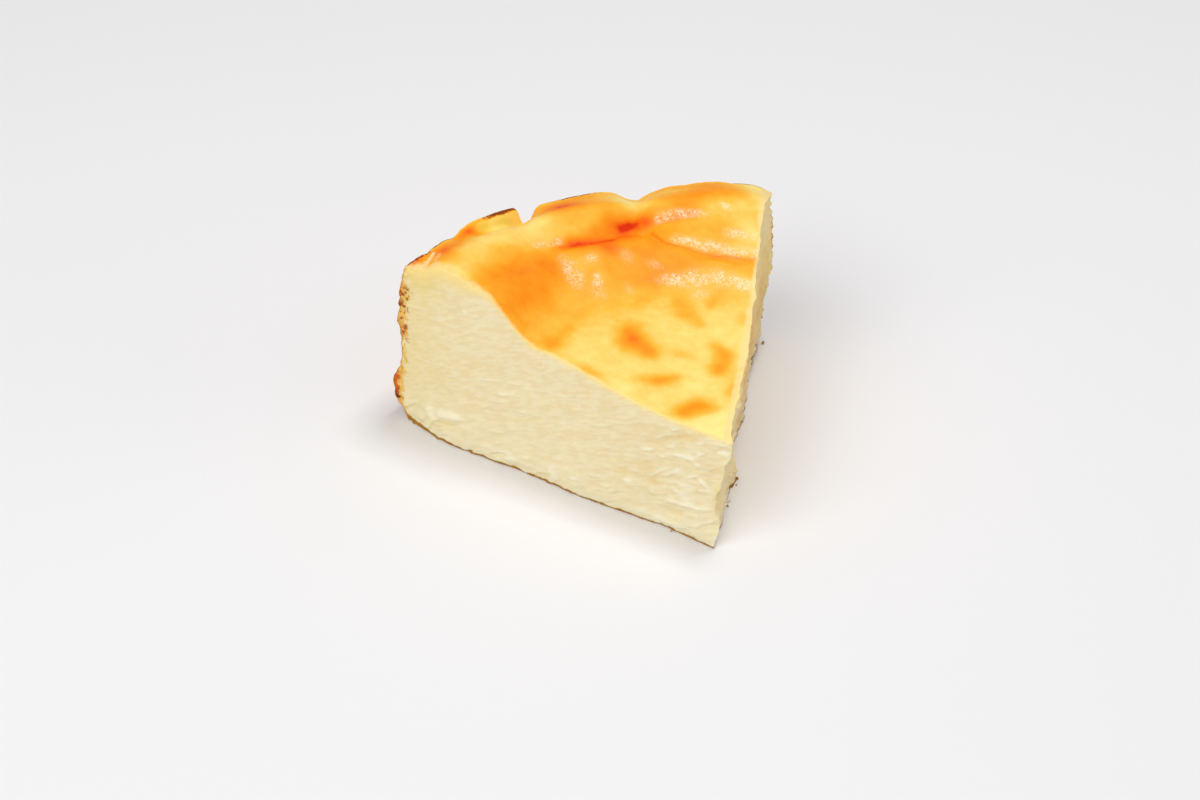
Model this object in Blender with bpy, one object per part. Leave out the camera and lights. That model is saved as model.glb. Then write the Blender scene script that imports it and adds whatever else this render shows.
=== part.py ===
"""A wedge of Basque burnt cheesecake, cut from a round cake baked in pleated paper.

The middle of the cake has sunk and the ring inside its rim has stayed puffed, so the wedge is low
at its tip and high at its back. The wedge is one closed solid: a triangular lattice for the browned
top, dropped to the base as two cut faces and an outer wall, and then shaped by the functions below.

Metres, +Z up. X runs across the wedge and +Y from its tip to its rim. The shaping functions measure
from the foot of the tip, and the finished mesh is moved so that the origin is under its middle.
A turn is an angle in degrees round the tip, from 0 at the left cut to WEDGE_ANGLE at the right cut.
"""

import math

import bmesh
import bpy
from mathutils import Vector, noise

MM = 0.001

# Driving dimensions of the cake and of the wedge
CAKE_RADIUS = 92.6 * MM
WEDGE_ANGLE = 65.3
CENTRE_HEIGHT = 31.3 * MM
CREST_HEIGHT = 47.4 * MM
RIM_DROP = 3.3 * MM

# Where the middle of the wedge's box lies, measured from the foot of the tip
BOX_MIDDLE = Vector((0.41 * MM, 45.926 * MM, 0))

# How finely the lattice is cut, and how much closer its lines lie at the rim and at the edges
ROWS = 48
TIERS = 26
ROW_CROWDING = 0.2
TIER_CROWDING = 0.03

# Rise of the top from tip to rim at several turns, lengths in mm: the turn, the slow rise of the
# sunk middle, where the first slope starts and ends, its rise, where the second starts and ends
TOP_STATIONS = (
    (0.0, 4.9, 53.5, 70.5, 10.0, 71.5, 78.5),
    (14.0, 5.4, 54.0, 70.5, 8.4, 72.0, 80.0),
    (26.0, 5.8, 55.0, 71.0, 6.2, 74.0, 82.0),
    (45.0, 5.8, 54.0, 70.0, 5.4, 73.5, 82.0),
    (56.0, 5.5, 51.0, 64.0, 4.0, 66.0, 80.0),
    (65.3, 5.3, 48.0, 62.0, 3.4, 66.5, 79.0),
)
SLOW_RISE_FROM = 13 * MM
SLOW_RISE_TO = 58 * MM
RIM_DROP_FROM = 80 * MM
RIM_DROP_TO = 94.6 * MM

# Creases and valleys of the top: half width, then points of (x, y, depth), all in mm from the tip
TOP_CREASES = {
    "fold before the lobes": (
        2.1,
        ((-14, 73.4, 0.2), (-7, 73.6, 0.9), (1.5, 74.2, 1.4), (7, 76, 2.0), (12, 76.4, 2.2), (18, 75.2, 1.3),
         (28, 70.5, 0.3)),
    ),
    "fold to the right cut": (
        1.5,
        ((13.5, 75, 1.1), (15.6, 68.5, 0.7), (20, 64, 0.7), (26.7, 59.4, 0.9), (31, 56.2, 1.0),
         (36.5, 55.4, 1.1)),
    ),
    "valley between the lobes": (4.4, ((12.5, 76.5, 1.2), (14.5, 83, 1.6), (18, 92, 2.4))),
    "soft side of the right lobe": (3.4, ((23, 82, 0.1), (25, 91, 0.9))),
    "valley beside the torn lip": (2.4, ((-19, 77, 0.3), (-15.5, 84, 1.5), (-12.8, 93, 4.2))),
    "groove near the left cut": (1.4, ((-48.5, 70.5, 0.8), (-44.5, 76, 1.1), (-40.5, 84, 0.4))),
    "dent between the rim patches": (2.2, ((-34, 79, 0.2), (-33, 86, 0.4))),
    "torn edge at the right corner": (2.6, ((44.5, 68, 0.3), (47.5, 73, 0.9), (50.5, 78.5, 1.2))),
}
CREASE_REACH = 2.6

# Soft swellings of the top: x, y, reach and height in mm from the tip
TOP_SWELLINGS = (
    (38, 80, 11, 1.5),
    (24, 68, 5, 0.6),
    (-28, 72, 9, 0.5),
)

# The lip of crust that stands up at the rim: the turns between which it rises, between which its top
# and the wall under it are torn off, the trough in front of it, and where its inner face rises
LIP_RISES = (11.0, 17.5)
LIP_TOP_TORN = (23.6, 24.3)
LIP_WALL_TORN = (22.4, 26.0)
LIP_HEIGHT = 1.0 * MM
LIP_FACE_FROM = 89.4 * MM
LIP_FACE_TO = 91.0 * MM
TROUGH_DEPTH = 2.3 * MM
TROUGH_RADIUS = 87.8 * MM
TROUGH_WIDTH = 2.4 * MM

# Pleats that the paper pressed into the wall: the turn at the top, half width in degrees, depth in
# mm at the top and at the base, and how many degrees the pleat leans by the base
WALL_PLEATS = (
    (5.2, 2.9, 0.5, 0.9, 0.6),
    (11.4, 4.0, 0.4, 1.6, -1.2),
    (25.2, 3.2, 3.0, 1.3, 0.9),
    (33.5, 5.0, 0.3, 2.2, -1.8),
    (44.4, 4.8, 2.6, 1.5, 1.1),
    (52.0, 3.5, 0.6, 1.9, 1.6),
    (59.3, 4.0, 0.8, 1.4, -1.4),
)
PLEAT_SHARPNESS = 1.6
PLEAT_BASE_SHARE = 0.1

# The wall's profile up its height: rounded foot, bulge over it, waist, chest and rounded shoulder
FOOT_ROUNDING = 3.4 * MM
FOOT_ROUNDING_FROM = -1.5 * MM
FOOT_ROUNDING_TO = 5.0 * MM
FOOT_BULGE = 0.6 * MM
FOOT_BULGE_LEFT = 1.9 * MM
FOOT_BULGE_LEFT_TURNS = (4.0, 16.0)
FOOT_BULGE_AT = 9.5 * MM
FOOT_BULGE_WIDTH = 3.6 * MM
WAIST_DEPTH = 0.9 * MM
WAIST_AT = 18 * MM
WAIST_WIDTH = 4.0 * MM
CHEST_SWELL = 0.9 * MM
CHEST_AT = 34 * MM
CHEST_WIDTH = 7.0 * MM
SHOULDER_ROUNDING = 0.9 * MM
SHOULDER_FROM = 3.5 * MM
SHOULDER_TO = 1.0 * MM
WALL_REACH = 0.88

# How far the left cut face stands out: its foot bellies, most of all before the rim
LEFT_BELLY_AT_TIP = 0.7 * MM
LEFT_BELLY = 2.0 * MM
LEFT_BELLY_FULL = (15 * MM, 40 * MM)
LEFT_RIM_BELLY = 1.1 * MM
LEFT_RIM_BELLY_AT = 73 * MM
LEFT_RIM_BELLY_WIDTH = 9 * MM
LEFT_BELLY_ENDS = (79 * MM, 93 * MM)
LEFT_BELLY_POWER = 1.6

# How far the right cut face stands out: its top edge leans out near the tip, tucks in beyond and
# flares again at the rim, its body bellies at the rim, and its foot has a nick, a lump and a hollow
RIGHT_LEAN = 1.3 * MM
RIGHT_TUCK = 1.5 * MM
RIGHT_TUCK_GROWS = (45 * MM, 76 * MM)
RIGHT_FLARE = 1.0 * MM
RIGHT_FLARE_GROWS = (74 * MM, 89 * MM)
RIGHT_BELLY = 1.5 * MM
RIGHT_BELLY_GROWS = (55 * MM, 90 * MM)
RIGHT_BELLY_AT = 23 * MM
RIGHT_BELLY_WIDTH = 12.5 * MM
RIGHT_NICK = 0.8 * MM
RIGHT_NICK_AT = 5.5 * MM
RIGHT_NICK_WIDTH = 3.2 * MM
RIGHT_NICK_TOP = (5 * MM, 11 * MM)
RIGHT_LUMP = 1.7 * MM
RIGHT_LUMP_AT = 28.5 * MM
RIGHT_LUMP_WIDTH = 3.5 * MM
RIGHT_LUMP_TOP = (2 * MM, 9 * MM)
RIGHT_HOLLOW = 1.3 * MM
RIGHT_HOLLOW_AT = 41 * MM
RIGHT_HOLLOW_WIDTH = 8 * MM
RIGHT_HOLLOW_TOP = (2 * MM, 16 * MM)
CUT_REACH = 7 * MM

# Unevenness: wavelength and height of each layer, and how much of it the top gets
WAVES = ((23 * MM, 0.55 * MM), (9 * MM, 0.30 * MM), (4.2 * MM, 0.16 * MM))
TOP_WAVE_SHARE = 0.55

# The ragged edge where the cuts meet: the height, how far the edge is set back along the left cut
# and how far it is shifted to the right, in mm. It is chipped halfway up and leans out at the top.
TIP_EDGE = (
    (0, 0, 0), (4.5, -0.6, 0), (7.7, -0.4, 0), (11, 1.3, 0), (14, 0.8, 0), (17.5, 0.1, 0), (23.5, 0.2, 0),
    (27.3, -1.1, 0.8), (32, -0.8, 0.3),
)
TIP_EDGE_REACH = 4.4 * MM
TIP_CRUMBLE = 0.8 * MM
TIP_CRUMBLE_SETBACK = 0.6
TIP_CRUMBLE_REACH = 7 * MM
TIP_CRUMBLE_LENGTH = 4.5 * MM

HALF_ANGLE = math.radians(WEDGE_ANGLE / 2)
LEFT_ALONG = Vector((-math.sin(HALF_ANGLE), math.cos(HALF_ANGLE), 0))
LEFT_NORMAL = Vector((-math.cos(HALF_ANGLE), -math.sin(HALF_ANGLE), 0))
RIGHT_NORMAL = Vector((math.cos(HALF_ANGLE), -math.sin(HALF_ANGLE), 0))


def ramp(value, low, high):
    """0 below low, 1 above high, and a smooth S between them."""
    share = min(max((value - low) / (high - low), 0.0), 1.0)
    return share * share * (3 - 2 * share)


def bump(value, centre, width):
    """A bell of height 1 round centre."""
    return math.exp(-(((value - centre) / width) ** 2))


def waves(place, layer):
    """Smooth unevenness in metres, the same at each run and different for each layer number."""
    total = 0.0
    for index, (length, height) in enumerate(WAVES):
        shift = Vector((layer * 17.3, index * 9.1, layer * 5.7))
        total += height * noise.noise(place / length + shift)
    return total


def station_at(turn):
    """The top's slopes in metres at a turn, blended between the stations on its two sides."""
    for before, after in zip(TOP_STATIONS, TOP_STATIONS[1:]):
        if turn <= after[0]:
            break
    share = ramp(turn, before[0], after[0])
    return [MM * (a + (b - a) * share) for a, b in zip(before[1:], after[1:])]


def crease_depth(x, y, width, points):
    """Depth of one crease at a place on the top, by the nearest point of its line."""
    spot = Vector((x, y)) / MM
    nearest = CREASE_REACH * width
    depth = 0.0
    for start, end in zip(points, points[1:]):
        along = Vector(end[:2]) - Vector(start[:2])
        offset = spot - Vector(start[:2])
        share = min(max(offset.dot(along) / along.length_squared, 0.0), 1.0)
        distance = (offset - along * share).length
        if distance < nearest:
            nearest = distance
            depth = start[2] + (end[2] - start[2]) * share
    return MM * depth * bump(nearest, 0, width)


def lip_share(turn, torn):
    """How much of the standing lip there is at a turn, torn off between two turns."""
    return ramp(turn, *LIP_RISES) * (1 - ramp(turn, *torn))


def top_height(x, y):
    """Height of the browned top over a place."""
    radius = math.hypot(x, y)
    turn = min(max(math.degrees(math.atan2(x, y)) + WEDGE_ANGLE / 2, 0.0), WEDGE_ANGLE)
    slow_rise, first_start, first_end, first_rise, second_start, second_end = station_at(turn)
    second_rise = CREST_HEIGHT - CENTRE_HEIGHT - slow_rise - first_rise
    height = CENTRE_HEIGHT + slow_rise * ramp(radius, SLOW_RISE_FROM, SLOW_RISE_TO)
    height += first_rise * ramp(radius, first_start, first_end)
    height += second_rise * ramp(radius, second_start, second_end)
    height -= RIM_DROP * ramp(radius, RIM_DROP_FROM, RIM_DROP_TO)
    for centre_x, centre_y, reach, swelling in TOP_SWELLINGS:
        distance = math.hypot(x / MM - centre_x, y / MM - centre_y)
        height += MM * swelling * bump(distance, 0, reach)
    lip_there = lip_share(turn, LIP_TOP_TORN)
    lip = lip_there * ramp(radius, LIP_FACE_FROM, LIP_FACE_TO)
    for width, points in TOP_CREASES.values():
        height -= crease_depth(x, y, width, points) * (1 - lip)
    height -= TROUGH_DEPTH * lip_there * bump(radius, TROUGH_RADIUS, TROUGH_WIDTH)
    height += LIP_HEIGHT * lip
    return height + TOP_WAVE_SHARE * waves(Vector((x, y, 0)), 1)


def wall_radius(turn, z, edge_height):
    """Radius of the outer wall at a turn and a height, under a top edge of the given height."""
    share_up = z / edge_height
    radius = CAKE_RADIUS
    clear_of_lip = 1 - lip_share(turn, LIP_WALL_TORN)
    for top_turn, half_width, top_depth, base_depth, lean in WALL_PLEATS:
        centre = top_turn + lean * (1 - share_up)
        depth = base_depth + (top_depth * clear_of_lip - base_depth) * ramp(share_up, PLEAT_BASE_SHARE, 1)
        radius -= MM * depth * max(0.0, 1 - abs(turn - centre) / half_width) ** PLEAT_SHARPNESS
    bulge = FOOT_BULGE_LEFT + (FOOT_BULGE - FOOT_BULGE_LEFT) * ramp(turn, *FOOT_BULGE_LEFT_TURNS)
    radius += bulge * bump(z, FOOT_BULGE_AT, FOOT_BULGE_WIDTH)
    radius -= WAIST_DEPTH * bump(z, WAIST_AT, WAIST_WIDTH)
    radius += CHEST_SWELL * bump(z, CHEST_AT, CHEST_WIDTH)
    radius -= FOOT_ROUNDING * (1 - ramp(z, FOOT_ROUNDING_FROM, FOOT_ROUNDING_TO))
    shoulder = ramp(z, edge_height - SHOULDER_FROM, edge_height + SHOULDER_TO)
    radius -= SHOULDER_ROUNDING * shoulder * clear_of_lip
    return radius + waves(Vector((math.radians(turn) * CAKE_RADIUS, 0, z)), 2)


def left_cut_offset(out, z, edge_height):
    """How far the left cut face stands out at a distance from the tip and a height."""
    belly = LEFT_BELLY_AT_TIP + (LEFT_BELLY - LEFT_BELLY_AT_TIP) * ramp(out, *LEFT_BELLY_FULL)
    belly += LEFT_RIM_BELLY * bump(out, LEFT_RIM_BELLY_AT, LEFT_RIM_BELLY_WIDTH)
    belly *= 1 - ramp(out, *LEFT_BELLY_ENDS)
    return belly * (1 - (z / edge_height) ** LEFT_BELLY_POWER) + waves(Vector((out, 0, z)), 3)


def right_cut_offset(out, z, edge_height):
    """How far the right cut face stands out at a distance from the tip and a height."""
    lean = RIGHT_LEAN - RIGHT_TUCK * ramp(out, *RIGHT_TUCK_GROWS) + RIGHT_FLARE * ramp(out, *RIGHT_FLARE_GROWS)
    belly = RIGHT_BELLY * ramp(out, *RIGHT_BELLY_GROWS) * bump(z, RIGHT_BELLY_AT, RIGHT_BELLY_WIDTH)
    belly -= RIGHT_NICK * bump(out, RIGHT_NICK_AT, RIGHT_NICK_WIDTH) * (1 - ramp(z, *RIGHT_NICK_TOP))
    lump = RIGHT_LUMP * bump(out, RIGHT_LUMP_AT, RIGHT_LUMP_WIDTH) * (1 - ramp(z, *RIGHT_LUMP_TOP))
    hollow = RIGHT_HOLLOW * bump(out, RIGHT_HOLLOW_AT, RIGHT_HOLLOW_WIDTH)
    hollow *= 1 - ramp(z, *RIGHT_HOLLOW_TOP)
    return lean * z / edge_height + belly + lump - hollow + waves(Vector((out, 0, z)), 4)


def tip_shift(out, z):
    """Shift of the ragged edge where the two cuts meet, which fades away from the tip."""
    near = 1 - ramp(out, 0, TIP_CRUMBLE_REACH)
    step = z / TIP_CRUMBLE_LENGTH
    across = TIP_CRUMBLE * near * noise.noise(Vector((3.1, 0.7, step)))
    back = TIP_CRUMBLE * near * (TIP_CRUMBLE_SETBACK + noise.noise(Vector((8.4, 2.2, step))))
    for below, above in zip(TIP_EDGE, TIP_EDGE[1:]):
        if z <= above[0] * MM:
            break
    share = ramp(z, below[0] * MM, above[0] * MM)
    setback, right = (MM * (a + (b - a) * share) for a, b in zip(below[1:], above[1:]))
    fade = 1 - ramp(out, 0, TIP_EDGE_REACH)
    return Vector((across + right * fade, back, 0)) + LEFT_ALONG * setback * fade


def shaped(across, out_share, up_share):
    """Place of a lattice point: across from -1 (left cut) to 1, out from the tip, up from the base."""
    angle = across * HALF_ANGLE
    turn = math.degrees(angle + HALF_ANGLE)
    direction = Vector((math.sin(angle), math.cos(angle), 0))
    edge_height = top_height(direction.x * CAKE_RADIUS, direction.y * CAKE_RADIUS)
    radius = out_share * CAKE_RADIUS
    height = top_height(direction.x * radius, direction.y * radius)
    z = up_share * height
    swell = wall_radius(turn, up_share * edge_height, edge_height) - CAKE_RADIUS
    radius += swell * ramp(out_share, WALL_REACH, 1)
    place = direction * radius
    left_share = 1 - ramp(radius * math.sin(HALF_ANGLE + angle), 0, CUT_REACH)
    right_share = 1 - ramp(radius * math.sin(HALF_ANGLE - angle), 0, CUT_REACH)
    place += LEFT_NORMAL * left_share * left_cut_offset(radius, z, height)
    place += RIGHT_NORMAL * right_share * right_cut_offset(radius, z, height)
    place += tip_shift(radius, z)
    place.z = z
    return place


def lattice(rows, tiers):
    """A closed prism whose top is a triangular lattice and whose three sides are ladders of quads.

    Its points hold shares: y is the row from tip to rim, x runs from -y to y, and z is the tier."""
    mesh = bmesh.new()
    corners = [mesh.verts.new(corner) for corner in ((0, 0, 1), (1, 1, 1), (-1, 1, 1))]
    mesh.faces.new(corners)
    bmesh.ops.subdivide_edges(mesh, edges=mesh.edges[:], cuts=rows - 1, use_grid_fill=True)
    outline = [edge for edge in mesh.edges if edge.is_boundary]
    dropped = bmesh.ops.extrude_edge_only(mesh, edges=outline)["geom"]
    base = [part for part in dropped if isinstance(part, bmesh.types.BMVert)]
    bmesh.ops.translate(mesh, verts=base, vec=(0, 0, -1))
    posts = [edge for edge in mesh.edges if edge.verts[0].co.z != edge.verts[1].co.z]
    bmesh.ops.subdivide_edges(mesh, edges=posts, cuts=tiers - 1, use_grid_fill=True)
    open_loop = [edge for edge in mesh.edges if edge.is_boundary]
    bmesh.ops.edgeloop_fill(mesh, edges=open_loop)
    bmesh.ops.recalc_face_normals(mesh, faces=mesh.faces[:])
    return mesh


def wedge_mesh():
    """The lattice shaped into the wedge, with its origin under the middle of its box."""
    mesh = lattice(ROWS, TIERS)
    for vert in mesh.verts:
        row, tier = vert.co.y, vert.co.z
        across = vert.co.x / row if row > 0 else 0.0
        out_share = row + ROW_CROWDING * (row - row ** 4)
        up_share = tier - TIER_CROWDING * math.sin(2 * math.pi * tier)
        vert.co = shaped(across, out_share, up_share) - BOX_MIDDLE
    data = bpy.data.meshes.new("cheesecake_slice")
    mesh.to_mesh(data)
    mesh.free()
    return data


def baked_cheese_material():
    """Pale baked cheese, the plain colour of the cut faces."""
    material = bpy.data.materials.new("baked_cheese")
    material.use_nodes = True
    shader = material.node_tree.nodes["Principled BSDF"]
    shader.inputs["Base Color"].default_value = (0.87, 0.71, 0.38, 1)
    shader.inputs["Roughness"].default_value = 0.5
    shader.inputs["Metallic"].default_value = 0
    return material


def main():
    for old in list(bpy.data.objects):
        bpy.data.objects.remove(old)
    data = wedge_mesh()
    data.materials.append(baked_cheese_material())
    data.shade_smooth()
    data.set_sharp_from_angle(angle=math.radians(50))
    cheesecake = bpy.data.objects.new("cheesecake_slice", data)
    bpy.context.scene.collection.objects.link(cheesecake)


main()
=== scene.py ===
"""Look of a slice of basque burnt cheesecake, laid out as a Blender add-on and run as a script.

The slice is built again on a lattice some four times finer than its solid, from the same sizes
and shape functions, with what the solid leaves out: the wrinkles of the skin, the smears of the
knife on the cuts, the crumbly crust and the browning. Lengths are in mm from the foot of the tip
unless a name or a unit says otherwise. A turn is an angle in degrees round the tip, counted from
the left cut.
"""

import math
import random

import bmesh
import bpy
from bpy.props import FloatProperty, FloatVectorProperty, IntProperty, PointerProperty
from bpy.types import Operator, Panel, PropertyGroup
from mathutils import Matrix, Vector, noise


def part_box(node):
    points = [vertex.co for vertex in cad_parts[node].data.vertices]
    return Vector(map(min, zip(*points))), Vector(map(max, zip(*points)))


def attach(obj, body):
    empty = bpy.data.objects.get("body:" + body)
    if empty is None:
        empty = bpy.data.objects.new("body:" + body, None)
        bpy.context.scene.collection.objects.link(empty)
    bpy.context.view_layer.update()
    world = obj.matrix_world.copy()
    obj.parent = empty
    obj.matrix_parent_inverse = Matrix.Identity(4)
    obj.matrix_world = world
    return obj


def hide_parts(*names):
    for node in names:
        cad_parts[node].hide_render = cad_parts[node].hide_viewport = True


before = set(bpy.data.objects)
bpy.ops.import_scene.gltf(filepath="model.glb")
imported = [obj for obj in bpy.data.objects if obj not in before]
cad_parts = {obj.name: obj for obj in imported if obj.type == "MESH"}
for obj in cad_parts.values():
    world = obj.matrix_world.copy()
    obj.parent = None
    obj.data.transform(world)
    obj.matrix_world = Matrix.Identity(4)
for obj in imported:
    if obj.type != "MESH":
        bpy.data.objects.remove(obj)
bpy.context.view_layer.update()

bl_info = {
    "name": "Basque Burnt Cheesecake Slice",
    "version": (1, 0, 0),
    "blender": (4, 5, 0),
    "location": "3D View > Sidebar > Cheesecake",
    "description": "Builds a cut slice of baked cheesecake with its skin, crumbs and stage",
    "category": "Add Mesh",
}

MM = 0.001
NODE = "cheesecake_slice"
BODY = "root"

# Where the middle of the slice's box lies, measured from the foot of the tip
BOX_MIDDLE = Vector((0.41, 45.926, 0))
# The two cuts, numbered for the noise
LEFT = 1
RIGHT = 2

# How much closer the lattice's lines lie at the rim and at the edges
ROW_CROWDING = 0.2
TIER_CROWDING = 0.03
# Attributes that the slice's points carry for its finishes
MARKS = (
    "browning", "shine", "torn", "scorch", "green", "thin", "wall_gap", "top_gap", "relief", "dry", "yellow",
    "top_edge",
)

# Rise of the top from tip to rim at several turns: the turn, the slow rise of the sunk middle, where
# the first slope starts and ends, its rise, where the second starts and ends
TOP_STATIONS = (
    (0.0, 4.9, 53.5, 70.5, 10.0, 71.5, 78.5),
    (14.0, 5.4, 54.0, 70.5, 8.4, 72.0, 80.0),
    (26.0, 5.8, 55.0, 71.0, 6.2, 74.0, 82.0),
    (45.0, 5.8, 54.0, 70.0, 5.4, 73.5, 82.0),
    (56.0, 5.5, 51.0, 64.0, 4.0, 66.0, 80.0),
    (65.3, 5.3, 48.0, 62.0, 3.4, 66.5, 79.0),
)
SLOW_RISE = (13, 58)
RIM_DROPS = (80, 94.6)

# Creases and valleys of the top: half width, then points of (x, y, depth)
TOP_CREASES = {
    "fold before the lobes": (
        2.1,
        ((-14, 73.4, 0.2), (-7, 73.6, 0.9), (1.5, 74.2, 1.4), (7, 76, 2.0), (12, 76.4, 2.2), (18, 75.2, 1.3),
         (28, 70.5, 0.3)),
    ),
    "fold to the right cut": (
        1.5,
        ((13.5, 75, 1.1), (15.6, 68.5, 0.7), (20, 64, 0.7), (26.7, 59.4, 0.9), (31, 56.2, 1.0),
         (36.5, 55.4, 1.1)),
    ),
    "valley between the lobes": (4.4, ((12.5, 76.5, 1.2), (14.5, 83, 1.6), (18, 92, 2.4))),
    "soft side of the right lobe": (3.4, ((23, 82, 0.1), (25, 91, 0.9))),
    "valley beside the torn lip": (2.4, ((-19, 77, 0.3), (-15.5, 84, 1.5), (-12.8, 93, 4.2))),
    "groove near the left cut": (1.4, ((-48.5, 70.5, 0.8), (-44.5, 76, 1.1), (-40.5, 84, 0.4))),
    "dent between the rim patches": (2.2, ((-34, 79, 0.2), (-33, 86, 0.4))),
    "torn edge at the right corner": (2.6, ((44.5, 68, 0.3), (47.5, 73, 0.9), (50.5, 78.5, 1.2))),
}
# Beyond how many half widths a bell is taken as flat
BELL_REACH = 2.6

# Soft swellings of the top: x, y, reach and height
TOP_SWELLINGS = (
    (38, 80, 11, 1.5),
    (24, 68, 5, 0.6),
    (-28, 72, 9, 0.5),
)

# The lip of crust that stands up at the rim: the turns between which it rises, between which its top
# and the wall under it are torn off, its height, the radii between which its inner face rises, and the
# trough in front of it. A value whose name ends in AT holds a middle and a half width.
LIP_RISES = (11.0, 17.5)
LIP_TOP_TORN = (23.6, 24.3)
LIP_WALL_TORN = (22.4, 26.0)
LIP_HEIGHT = 1.0
LIP_FACE = (89.4, 91.0)
TROUGH_DEPTH = 2.3
TROUGH_AT = (87.8, 2.4)

# Pleats that the paper pressed into the wall: the turn at the top, half width in degrees, depth at
# the top and at the base, and how many degrees the pleat leans by the base
WALL_PLEATS = (
    (5.2, 2.9, 0.5, 0.9, 0.6),
    (11.4, 4.0, 0.4, 1.6, -1.2),
    (25.2, 3.2, 3.0, 1.3, 0.9),
    (33.5, 5.0, 0.3, 2.2, -1.8),
    (44.4, 4.8, 2.6, 1.5, 1.1),
    (52.0, 3.5, 0.6, 1.9, 1.6),
    (59.3, 4.0, 0.8, 1.4, -1.4),
)
# How sharp a pleat is, and up to what share of the height it keeps its depth at the base
PLEAT_SHARPNESS = 1.6
PLEAT_BASE_SHARE = 0.1

# The wall's profile up its height: a rounded foot, a bulge over it that is fuller by the left cut, a
# waist, a chest and a rounded shoulder
FOOT_ROUNDING = 3.4
FOOT_ROUNDS = (-1.5, 5.0)
FOOT_BULGE = (1.9, 0.6)
FOOT_BULGE_TURNS = (4.0, 16.0)
FOOT_BULGE_AT = (9.5, 3.6)
WAIST_DEPTH = 0.9
WAIST_AT = (18, 4.0)
CHEST_SWELL = 0.9
CHEST_AT = (34, 7.0)
SHOULDER_ROUNDING = 0.9
SHOULDER_FROM_EDGE = (-3.5, 1.0)
# From which share of the way out the lattice follows the wall's form
WALL_REACH = 0.88

# How far the left cut face stands out: its foot bellies, less by the tip and most before the rim
LEFT_BELLY = (0.7, 2.0)
LEFT_BELLY_GROWS = (15, 40)
LEFT_RIM_BELLY = 1.1
LEFT_RIM_BELLY_AT = (73, 9)
LEFT_BELLY_ENDS = (79, 93)
LEFT_BELLY_POWER = 1.6

# How far the right cut face stands out: its top edge leans out near the tip, tucks in beyond and
# flares again at the rim, and its body bellies at the rim
RIGHT_LEAN = 1.3
RIGHT_TUCK = 1.5
RIGHT_TUCK_GROWS = (45, 76)
RIGHT_FLARE = 1.0
RIGHT_FLARE_GROWS = (74, 89)
RIGHT_BELLY = 1.5
RIGHT_BELLY_GROWS = (55, 90)
RIGHT_BELLY_AT = (23, 12.5)
# Forms of its foot: how far each stands out, its distance from the tip, its half width, and the heights
# between which it fades
RIGHT_FOOT_FORMS = {
    "nick": (-0.8, 5.5, 3.2, 5, 11),
    "lump": (1.7, 28.5, 3.5, 2, 9),
    "hollow": (-1.3, 41, 8, 2, 16),
}
# How deep under a cut face the lattice follows its form
CUT_REACH = 7

# Unevenness of the solid: wavelength and height of its waves, how far they are set apart in the noise,
# and how much of it the top gets
WAVES = ((23, 0.55), (9, 0.30), (4.2, 0.16))
WAVE_SHIFTS = (17.3, 9.1, 5.7)
TOP_WAVE_SHARE = 0.55

# The ragged edge where the cuts meet: the height, how far the edge is set back along the left cut
# and how far it is shifted to the right. It is chipped a third of the way up and leans out at the top.
TIP_EDGE = (
    (0, 0, 0), (4.5, -0.6, 0), (7.7, -0.4, 0), (11, 1.3, 0), (14, 0.8, 0), (17.5, 0.1, 0), (23.5, 0.2, 0),
    (27.3, -1.1, 0.8), (32, -0.8, 0.3),
)
TIP_EDGE_REACH = 4.4
# The crumbling laid over that edge: its depth, the share of it that is setback, its reach and wavelength
TIP_CRUMBLE = 0.8
TIP_CRUMBLE_SETBACK = 0.6
TIP_CRUMBLE_REACH = 7
TIP_CRUMBLE_LENGTH = 4.5

# Fine relief that the solid leaves out. Wrinkles of the skin and of the wall: wavelength along and
# across, height
SKIN_WRINKLES = ((3.2, 3.2, 0.07), (1.3, 1.3, 0.035))
WALL_WRINKLES = ((1.7, 8.0, 0.16), (1.1, 1.4, 0.16))
# Crumbs of the crust at the wall: wavelength, height, and how far into the cut they reach
CRUST_CRUMBS = (1.6, 0.8, 3.2)
# The cuts: length, width and height of the streaks that the knife dragged, and how they rise to the tip
KNIFE_STREAKS = ((15, 5.0, 0.18), (6, 2.0, 0.12), (2.4, 1.0, 0.12))
STREAK_RISE = 0.42
# Torn curd of the cuts: length, width and height, and between which values of the noise it tears
CURD_TEAR = (4.0, 2.0, 0.16)
CURD_TEAR_EDGE = (0.28, 0.42)
# How much higher this relief is by the tip and the foot, and how far from them it sinks to its height
CUT_RELIEF_GROWTH = 1.2
CUT_RELIEF_FROM_TIP = (8, 34)
CUT_RELIEF_FROM_FOOT = (3, 12)
# How many times as high it is on the right cut, at the tip and beyond it, and where it grows
RIGHT_CUT_RELIEF = (0.5, 1.7)
RIGHT_CUT_RELIEF_GROWS = (4, 16)
# How deep under a cut face the lattice follows its relief
CUT_RELIEF_REACH = 1.3
# Where in the noise each relief is found, so that no two are alike
SKIN_NOISE = 40.5
WALL_NOISE = 60.5
STREAK_NOISE = 13.7
TEAR_NOISE = 7.9
BROWNING_NOISE = (3.5, 17.5)
TIP_NOISE = (3.1, 0.7)
TIP_BACK_NOISE = (8.4, 2.2)
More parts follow.
